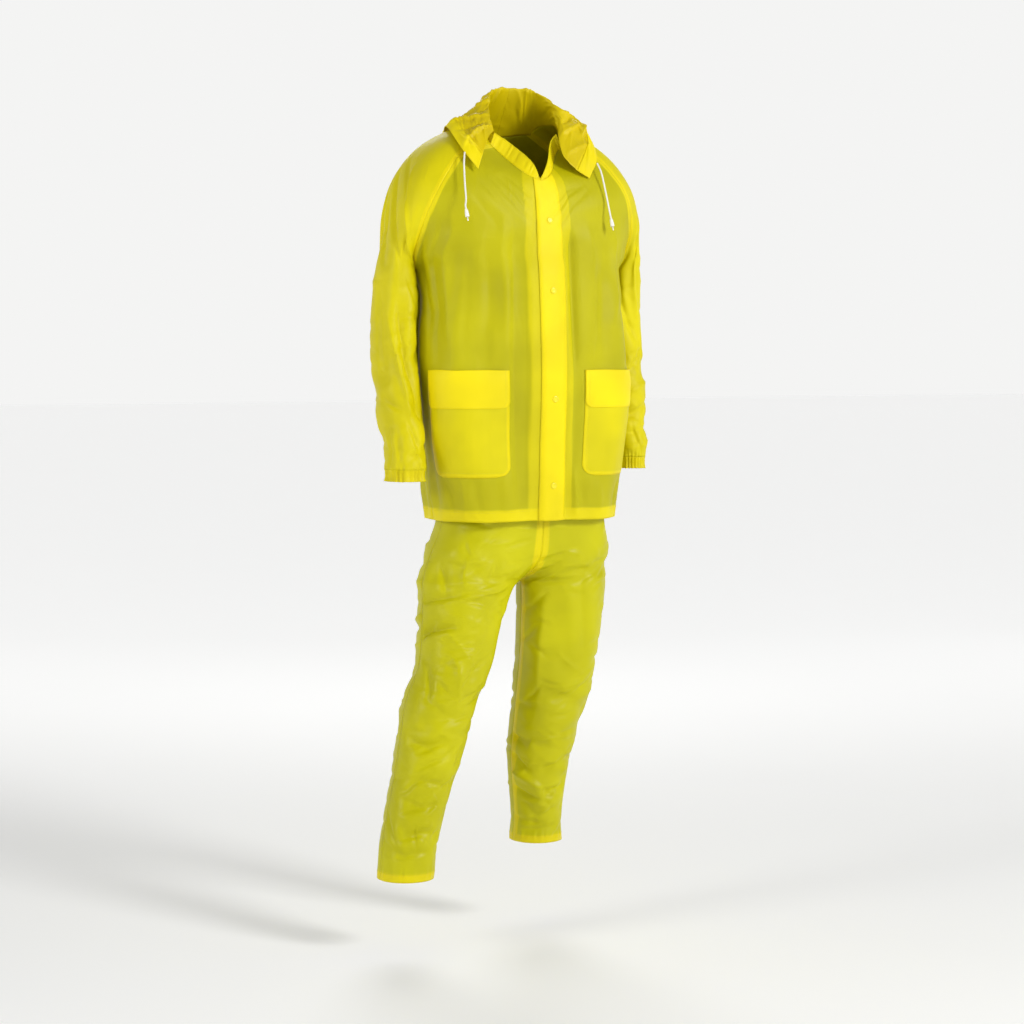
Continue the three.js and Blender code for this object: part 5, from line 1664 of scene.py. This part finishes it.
@dataclass
class Jacket(JacketPart):
    """The jacket's cloth: fronts, back, sleeves with cuffs, hood with casings, and neckband.

    Attributes:
        cuff_depth: Depth of the elastic cuffs.
        cuff_waves: Gathers round a cuff.
        cuff_gather: Height of a gather.
        cuff_waist: How far the elastic draws the cuff in, as a share of its width.
        casing: Share of the hood that the drawcord casing takes, from the brim.
    """

    cuff_depth: float = 22.0
    cuff_waves: int = 23
    cuff_gather: float = 1.6
    cuff_waist: float = 0.07
    casing: float = 2 / 9

    def build(self) -> None:
        """Makes every piece."""
        for name, panel in self.pattern.panels.items():
            part, _, word = name.partition("_")
            finish = {"hood": HOOD_FILM, "sleeve": SLEEVE_FILM, "neckband": DOUBLE_FILM}.get(part, TORSO_FILM)
            slot = {"sleeve": "film_bright", "neckband": "film_double"}.get(part, "film")
            node = "jacket_" + name if part in ("front", "back") else name
            add_sheet(node, panel.points, panel.normals, panel.double, finish, slot)
        for side in Side:
            self.add_cuff(side)
            self.add_casing(side)
        self.sew()

    def add_cuff(self, side: Side) -> None:
        """Makes an elastic cuff, drawn in and gathered below the sleeve's last row.

        Args:
            side: Side of the wearer.
        """
        panel = self.pattern.panel("sleeve", side)
        rim = panel.points[-1, :-1]
        normals = unit(panel.normals[-1, :-1] * (1, 1, 0))
        share = np.linspace(0, 1, RING_ROWS)[:, None]
        scale = 1 - self.cuff_waist * np.sin(np.pi * share) ** 0.7
        wave = gathers(np.linspace(0, 1, len(rim), endpoint=False), self.cuff_waves, SEED + side.value)
        grow = mix(0.2, 1, smooth_step(share / 0.4)) * self.cuff_gather
        centre = rim.mean(0)
        points = np.empty((len(share), len(rim), 3))
        points[..., :2] = centre[:2] + (rim[:, :2] - centre[:2]) * scale[..., None]
        points[..., 2] = rim[:, 2] - share * self.cuff_depth
        points = points + normals * (wave * grow)[..., None]
        double = np.full(points.shape[:2], 0.5)
        normals = np.broadcast_to(normals, points.shape)
        add_sheet(f"cuff_{side.label}", points, normals, double, SLEEVE_FILM, "film_bright", True)

    def add_casing(self, side: Side) -> None:
        """Makes the drawcord casing that lies inside the hood's brim.

        Args:
            side: Side of the wearer.
        """
        panel = self.pattern.panel("hood", side)
        start = int(round((len(panel.points) - 1) * (1 - self.casing)))
        normals = panel.normals[start:]
        points = panel.points[start:] - normals * LAYER
        double = np.ones(points.shape[:2])
        add_sheet(f"hood_casing_{side.label}", points, normals, double, DOUBLE_FILM, "film_double")

    def sew(self) -> None:
        """Sews beside the raglan seams, the side seams and the hem, and along the casing."""
        pattern = self.pattern
        armpit = len(pattern.low) - 1
        cap = slice(0, len(pattern.cap) - 1)
        hem = pattern.hem_depth - HEM_STITCH
        for side in Side:
            parts = ("front", "sleeve", "hood", "neckband")
            front, sleeve, hood, neckband = (pattern.panel(part, side) for part in parts)
            for line in (
                front.beside(Edge.LAST_COLUMN, SEAM_STITCH, slice(armpit, None)),
                front.beside(Edge.LAST_COLUMN, SIDE_STITCH, slice(0, armpit)),
                sleeve.beside(Edge.FIRST_COLUMN, SEAM_STITCH, cap),
                sleeve.beside(Edge.LAST_COLUMN, SEAM_STITCH, cap),
                front.beside(Edge.FIRST_ROW, hem),
                hood.beside(Edge.LAST_ROW, CASING_STITCH),
                hood.beside(Edge.LAST_ROW, RIM_STITCH),
                neckband.beside(Edge.LAST_ROW, RIM_STITCH),
            ):
                self.threads.sew(*line)
        back = pattern.panels["back"]
        for edge in (Edge.FIRST_COLUMN, Edge.LAST_COLUMN):
            self.threads.sew(*back.beside(edge, SEAM_STITCH, slice(armpit, None)))
        self.threads.sew(*back.beside(Edge.FIRST_ROW, hem))


@dataclass
class Pockets(JacketPart):
    """Patch pockets with flaps, low on each front.

    Attributes:
        inner: Column of the CAD part at the pocket's inner edge.
        outer: Column at its outer edge.
        levels: Levels of its bottom and top.
        flap_level: Level of the flap's lower edge.
        corner: Radius of the pocket's lower corners.
        flap_corner: Radius of the flap's lower corners.
        width: A pocket's width, over which its corners' inset is counted.
        rows: Points up a patch.
        across: Points across it.
        edge: Distance from its outline over which it rises to its full lift.
        lift: How far a pocket stands off the front at its outline and in its middle.
        flap_lift: The same for its flap.
        turned: Width of the turned edge of a pocket.
    """

    inner: float = 4.0
    outer: float = 9.0
    levels: tuple[float, float] = (2.0, 5.0)
    flap_level: float = 4.0
    corner: float = 24.0
    flap_corner: float = 14.0
    width: float = 150.0
    rows: int = 44
    across: int = 48
    edge: float = 14.0
    lift: tuple[float, float] = (1.0, 1.9)
    flap_lift: tuple[float, float] = (3.1, 3.6)
    turned: float = 7.0

    def patch(
        self, side: Side, low: float, radius: float, lift: tuple[float, float],
    ) -> tuple[Array, Array, Array]:
        """Grid of a patch that lies on a front, with its lower corners rounded.

        The lower rows are drawn in by radius - sqrt(radius^2 - (radius - height)^2) at each end.

        Args:
            side: Side of the wearer.
            low: Level of its lower edge.
            radius: Radius of the corners.
            lift: How far it stands off at its edges and in its middle.

        Returns:
            Points, normals and how far each point is from the patch's outline.
        """
        front = self.pattern.panel("front", side)
        v = np.linspace(0, 1, self.rows)[:, None]
        u = np.linspace(0, 1, self.across)[None]
        row = self.pattern.row(mix(low, self.levels[1], v))
        probe, _ = front.at(row, np.full(v.shape, self.pattern.column(side, self.inner)))
        height = arc(probe, 0)[:, :1]
        inset = radius - np.sqrt(np.maximum(radius ** 2 - np.maximum(radius - height, 0) ** 2, 0))
        share = inset / self.width + u * (1 - 2 * inset / self.width)
        column = self.pattern.column(side, mix(self.inner, self.outer, share))
        points, normals = front.at(np.broadcast_to(row, column.shape), column)
        across = arc(points, 1)
        edge = np.minimum(np.minimum(across, across[:, -1:] - across), height)
        raised = mix(*lift, smooth_step(edge / self.edge))
        return points + normals * raised[..., None], normals, edge

    def build(self) -> None:
        """Makes both pockets and their flaps."""
        for side in Side:
            points, normals, edge = self.patch(side, self.levels[0], self.corner, self.lift)
            double = 0.9 * band(edge, self.turned)
            add_sheet(f"pocket_{side.label}", points, normals, double, SLEEVE_FILM, "film_bright")
            self.outline(points, normals)
            points, normals, _ = self.patch(side, self.flap_level, self.flap_corner, self.flap_lift)
            double = np.ones(double.shape)
            add_sheet(f"pocket_flap_{side.label}", points, normals, double, DOUBLE_FILM, "film_double")
            self.outline(points, normals)

    def outline(self, points: Array, normals: Array) -> None:
        """Sews just inside the sides and lower edge of a patch.

        Args:
            points: The patch's grid.
            normals: Its normals.
        """
        inside = 2
        for run in (np.s_[:0:-1, inside], np.s_[inside, inside:-inside], np.s_[1:, -inside - 1]):
            self.threads.sew(points[run], normals[run])


@dataclass
class StormFlap(JacketPart):
    """The flap over the front closure, with its snap caps.

    Attributes:
        lift: How far its outer face stands off the fronts.
        edge_lift: The same at its edges, as a share.
        edge: Distance from its edges over which it rises to its full lift.
        columns: Points across it on each side of the centre front.
        snap_levels: Levels of the snaps.
        snap_column: Column of the CAD part on which they sit.
        snap_radius: Radius of a cap.
        snap_height: Height of a cap.
        snap_sides: Points round it.
        snap_profile: Shares of the cap's radius and height from its seat over the rim to the dimple.
    """

    lift: float = 2.2
    edge_lift: float = 0.72
    edge: float = 8.0
    columns: tuple[int, int] = (10, 16)
    snap_levels: tuple[float, ...] = (11.5, 7.25, 4.25, 1.75)
    snap_column: float = 0.5
    snap_radius: float = 6.5
    snap_height: float = 2.2
    snap_sides: int = 40
    snap_profile: tuple[tuple[float, float], ...] = (
        (0, -0.2), (1, -0.2), (1, 0.35), (0.97, 0.55), (0.88, 0.78), (0.72, 0.92), (0.6, 0.97),
        (0.52, 0.95), (0.47, 0.84), (0.4, 0.8), (0.2, 0.8), (0, 0.8),
    )

    def grid(self) -> tuple[Array, Array]:
        """Points and normals of the fronts under the flap, from the right edge to the left one."""
        rows = np.arange(len(self.pattern.levels), dtype=float)[:, None]
        right, left = self.columns
        parts = []
        shares = {Side.RIGHT: np.linspace(1, 0, right), Side.LEFT: np.linspace(0, 1, left)[1:]}
        for side, share in shares.items():
            column = self.pattern.column(side, share * FLAP_COLUMN)
            row = np.broadcast_to(rows, (len(rows), len(column)))
            parts.append(self.pattern.panel("front", side).at(row, np.broadcast_to(column, row.shape)))
        return tuple(np.concatenate([part[k] for part in parts], 1) for k in (0, 1))

    def build(self) -> None:
        """Makes the flap and its snaps."""
        base, normals = self.grid()
        across = arc(base, 1)
        edge = np.minimum(across, across[:, -1:] - across)
        lift = mix(self.lift * self.edge_lift, self.lift, smooth_step(edge / self.edge))
        points = base + normals * lift[..., None]
        add_sheet("front_flap", points, normals, np.ones(edge.shape), DOUBLE_FILM, "film_double")
        for column in (1, points.shape[1] - 2):
            self.threads.sew(points[:, column], normals[:, column])
        rows = self.pattern.row(self.snap_levels)
        columns = np.full(rows.shape, self.pattern.column(Side.LEFT, self.snap_column))
        centres, outs = self.pattern.panel("front", Side.LEFT).at(rows, columns)
        profile = [(r * self.snap_radius, h * self.snap_height) for r, h in self.snap_profile]
        for number, (centre, out) in enumerate(zip(centres, outs), 1):
            shape = lathe(centre + out * self.lift, out, profile, self.snap_sides)
            add_solid(f"snap_{number}_cap", shape, SNAP_PLASTIC, "snap", f"snap_{number}")


@dataclass
class Drawcords:
    """The hood's drawcords, hanging from the ends of its casing, with their moulded tips.

    Attributes:
        radius: Radius of a cord.
        sides: Points round it.
        points: Points along it.
        tip_radius: Radius of a tip.
        tip_length: Length of a tip.
        tip_sides: Points round it.
        tip_profile: Shares of the tip's radius and length, from the cord down to its open mouth.
        end_radius: Radius of the cord's end below the tip.
        end_length: How far it hangs out of the tip.
    """

    radius: float = 1.6
    sides: int = 20
    points: int = 60
    tip_radius: float = 4.0
    tip_length: float = 15.5
    tip_sides: int = 28
    tip_profile: tuple[tuple[float, float], ...] = (
        (0, 0), (0.46, 0), (0.55, 0.03), (0.66, 0.14), (0.8, 0.32), (0.9, 0.6), (0.98, 0.9), (1, 0.96),
        (0.95, 1), (0.42, 1), (0.33, 0.97),
    )
    end_radius: float = 1.3
    end_length: float = 8.0

    def build(self) -> None:
        """Makes both cords."""
        for side, route in CORD_ROUTES.items():
            path = spline(np.array(route, float), np.linspace(0, len(route) - 1, self.points))
            shape = tube(path, self.radius, self.sides)
            node = f"drawcord_{side.label}"
            cord = add_solid(f"{node}_braid", shape, CORD_BRAID, "cord", node)
            down = unit(path[-1] - path[-2])
            profile = [(r * self.tip_radius, h * self.tip_length) for r, h in self.tip_profile]
            lowest = self.tip_length + self.end_length
            profile += [(self.end_radius, lowest - 0.6), (self.end_radius * 0.6, lowest), (0, lowest)]
            shape = lathe(path[-1], down, profile, self.tip_sides)
            node = f"cord_tip_{side.label}"
            tip = add_solid(f"{node}_moulded", shape, TIP_PLASTIC, "cord_tip", node)
            placed = metres(path)
            float(arc(placed[None], 1)[0, -1])


@dataclass
class Trousers:
    """The trousers: four panels and the gathered waistband.

    Attributes:
        threads: Where their stitches go.
        columns: Cells across each panel.
        hem_depth: Depth of the turned hem.
        inseam: Width of the double film beside the inseam.
        waist_depth: Depth of the waistband.
        waist_waves: Gathers round it.
        waist_gather: Height of a gather.
        crease_gain: How much deeper the creases are than their table says.
        scatter: Small creases, thickest where the legs crumple most.
        pucker: Height of the puckers above the hem.
        pucker_reach: How far up and down they spread.
        pucker_waves: How many there are across a panel.
        raise_double: How far double film stands out.
        panels: The grids, by part and side.
    """

    threads: Threads
    columns: int = 78
    hem_depth: float = 15.0
    inseam: float = 13.0
    waist_depth: float = 32.0
    waist_waves: int = 54
    waist_gather: float = 2.2
    crease_gain: float = 2.8
    scatter: Scatter = Scatter(
        90, ((620, 55), (520, 60), (420, 50), (330, 45), (240, 45), (710, 40)), 0.3, 3.6,
    )
    pucker: float = 0.9
    pucker_reach: float = 9.0
    pucker_waves: int = 8
    raise_double: float = 0.4
    panels: dict[str, Panel] = field(default_factory=dict)

    def make_panel(self, side: Side, face: Face) -> None:
        """Makes the grid of one panel, from its inner edge to the outseam.

        The second handle is set so that the middle of each section stands out as far as the table says.

        Args:
            side: Side of the wearer.
            face: Front or back.
        """
        rows = LEGS[side]
        inner = columns(rows, "innerX", face.label + "Y", "z")
        outer = columns(rows, "outX", "outY", "z")
        middle = rows[face.label + "Mid"]
        turn = rows["turn"] * np.pi / 2
        hip = HIP_HANDLE * np.abs(outer[:, 0] - inner[:, 0])
        leave = mix(hip, HALF_ELLIPSE * np.abs(middle - inner[:, 1]), rows["turn"])
        away = np.stack([side.value * np.cos(turn), face.value * np.sin(turn), 0 * turn], -1)
        first = inner + away * leave[:, None]
        depth = (8 * middle - inner[:, 1] - outer[:, 1]) / 3 - first[:, 1]
        second = np.stack([outer[:, 0], depth, rows["z"]], -1)
        handles = np.stack([inner, first, second, outer], 1)
        level = np.linspace(0, len(handles) - 1, LEG_SAMPLES)
        levels = even_places(spline(outer * (0, 0, 1), level), level, LEG_SPACING)
        share = np.linspace(0, 1, self.columns + 1)
        shares = np.broadcast_to(share, (len(levels), len(share)))
        panel = Panel(cubic(spline(handles, levels), shares), face.value * side.value, share)
        panel.crease(f"trouser_{face.label}", side, CREASE_MARGIN, self.crease_gain)
        small = self.scatter.creases(SEED + 50 + 10 * side.value + face.value)
        panel.press(small, SPANS["trouser"], CREASE_MARGIN, True)
        up = arc(panel.points, 0)
        above_hem = up[-1:] - up - self.hem_depth
        wave = gathers(share, self.pucker_waves, SEED + side.value + 3 * face.value)
        wave = wave * smooth_step(share / EDGE_MARGIN) * smooth_step((1 - share) / EDGE_MARGIN)
        panel.move_out(wave * (self.pucker * np.exp(-(above_hem / self.pucker_reach) ** 2)))
        panel.double = band(above_hem, 0)
        if face is Face.FRONT:
            panel.double = np.maximum(panel.double, band(arc(panel.points, 1), self.inseam))
        self.panels[f"{face.label}_{side.label}"] = panel

    def build(self) -> None:
        """Makes the four panels, the waistband and the stitches."""
        for side in Side:
            for face in Face:
                self.make_panel(side, face)
        weld_normals(list(self.panels.values()))
        for name, panel in self.panels.items():
            panel.move_out(panel.double * np.minimum(panel.across * 30, 1) * self.raise_double)
            add_sheet(f"trouser_{name}", panel.points, panel.normals, panel.double, TROUSER_FILM, "film")
            self.threads.sew(*panel.beside(Edge.LAST_ROW, self.hem_depth - HEM_STITCH))
            self.threads.sew(*panel.beside(Edge.LAST_COLUMN, SIDE_STITCH))
            if name.startswith("front"):
                self.threads.sew(*panel.beside(Edge.FIRST_COLUMN, self.inseam - HEM_STITCH))
        self.add_waistband()

    def add_waistband(self) -> None:
        """Makes the waistband, a gathered ring above the four panels."""
        points = []
        normals = []
        for name, way in (("front_left", 1), ("back_left", -1), ("back_right", 1), ("front_right", -1)):
            panel = self.panels[name]
            points.append(panel.points[0][::way][:-1])
            normals.append(panel.normals[0][::way][:-1])
        rim = np.concatenate(points)
        out = unit(np.concatenate(normals) * (1, 1, 0))
        share = np.linspace(0, 1, RING_ROWS)[:, None]
        wave = gathers(np.linspace(0, 1, len(rim), endpoint=False), self.waist_waves, SEED + 11)
        grow = smooth_step(share / 0.35) * self.waist_gather
        grid = rim + share[..., None] * (0, 0, self.waist_depth) + out * (wave * grow)[..., None]
        out = np.broadcast_to(out, grid.shape)
        add_sheet("waistband", grid, out, np.ones(grid.shape[:2]), DOUBLE_FILM, "film_double", True)


@dataclass
class Studio:
    """The camera, the lights and the floor of the photograph.

    Attributes:
        azimuth: Angle in degrees that the camera stands round from the front towards the wearer's right.
        distance: Its distance from the suit's axis in metres.
        height: Its height in the row's frame in metres.
        lens: Focal length in millimetres on a 36 mm sensor.
        shift: Lens shift that puts the suit in the picture as in the photograph.
        aim: Point that the softboxes face, in metres.
        softboxes: Name, place in metres, side in metres and power in watts of each light.
        floor: Height of the floor in metres.
        reach: How far the floor goes on each side, in metres.
        wall: Brightness of the studio's walls.
        sky: Brightness of its ceiling.
        horizon: Heights of direction, 0 to 1, between which the walls fade into the ceiling.
    """

    azimuth: float = 26.0
    distance: float = 5.0
    height: float = -0.395
    lens: float = 90.14
    shift: tuple[float, float] = (-0.0068, -0.1677)
    aim: tuple[float, float, float] = (0.0, 0.0, -0.6)
    softboxes: tuple[tuple[str, tuple[float, float, float], float, float], ...] = (
        ("key softbox", (1.7, -3.6, 1.3), 1.0, 112.0),
        ("side softbox", (-3.6, -0.6, 0.4), 1.0, 34.0),
        ("back softbox", (1.2, 3.0, 1.4), 2.0, 50.0),
    )
    floor: float = -1.545
    reach: float = 40.0
    wall: float = 0.93
    sky: float = 0.34
    horizon: tuple[float, float] = (0.16, 0.4)

    def add_camera(self) -> None:
        """Makes the camera."""
        data = bpy.data.cameras.new("camera")
        data.lens = self.lens
        data.sensor_width = 36
        data.shift_x, data.shift_y = self.shift
        camera = add_object("camera", data)
        angle = math.radians(self.azimuth)
        camera.location = (-math.sin(angle) * self.distance, -math.cos(angle) * self.distance, self.height)
        camera.rotation_euler = (math.pi / 2, 0, -angle)
        bpy.context.scene.camera = camera

    def add_light(self, name: str, place: tuple[float, float, float], size: float, power: float) -> None:
        """Adds a softbox that faces the suit's middle.

        Args:
            name: Its name.
            place: Where it stands, in metres.
            size: Side of the box in metres.
            power: Power in watts.
        """
        data = bpy.data.lights.new(name, "AREA")
        data.size = size
        data.energy = power
        light = add_object(name, data)
        light.location = place
        aim = Vector(self.aim) - Vector(place)
        light.rotation_euler = aim.to_track_quat("-Z", "Y").to_euler()

    def add_world(self) -> None:
        """Makes a pale studio whose walls are brighter than its ceiling, by the height of each direction."""
        world = bpy.data.worlds.new("studio")
        world.use_nodes = True
        tree = world.node_tree
        way = add_node(tree, "ShaderNodeTexCoord").outputs["Generated"]
        height = add_node(tree, "ShaderNodeSeparateXYZ", {}, {0: way}).outputs["Z"]
        low, high = self.horizon
        fade = {"From Min": low, "From Max": high, "To Min": self.wall, "To Max": self.sky}
        settings = {"interpolation_type": "SMOOTHSTEP", **fade}
        bright = add_node(tree, "ShaderNodeMapRange", settings, {"Value": height})
        sky = tree.nodes["Background"]
        wire(tree, sky, {"Color": linear("#FCFCFB")}, {"Strength": bright.outputs[0]})
        bpy.context.scene.world = world

    def build(self) -> None:
        """Makes the camera, the lights, the world and the floor."""
        self.add_camera()
        for softbox in self.softboxes:
            self.add_light(*softbox)
        self.add_world()
        bpy.context.scene.view_settings.view_transform = "Standard"
        mesh = bpy.data.meshes.new("floor")
        square = ((-1, -1), (1, -1), (1, 1), (-1, 1))
        corners = [(x * self.reach, y * self.reach, self.floor) for x, y in square]
        mesh.from_pydata(corners, [], [(0, 1, 2, 3)])
        mesh.materials.append(STUDIO_FLOOR.material())
        add_object("floor", mesh)


def main() -> None:
    """Builds the suit in order: camera and cords first, then the jacket, its trims and the trousers."""
    logging.basicConfig(level=logging.INFO, format="%(name)s: %(message)s")
    for item in list(bpy.data.objects):
        bpy.data.objects.remove(item)
    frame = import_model()
    Studio().build()
    Drawcords().build()
    pattern = JacketPattern()
    threads = Threads("jacket_stitches")
    for garment in (Jacket, Pockets, StormFlap):
        garment(pattern, threads).build()
    threads.build()
    threads = Threads("trouser_stitches")
    Trousers(threads).build()
    threads.build()
    made = [item for item in bpy.data.objects if item.type == "MESH" and item.name not in frame["nodes"]]
    log.info("triangles in all: %d", sum(len(item.data.loop_triangles) for item in made))


if __name__ == "__main__":
    main()
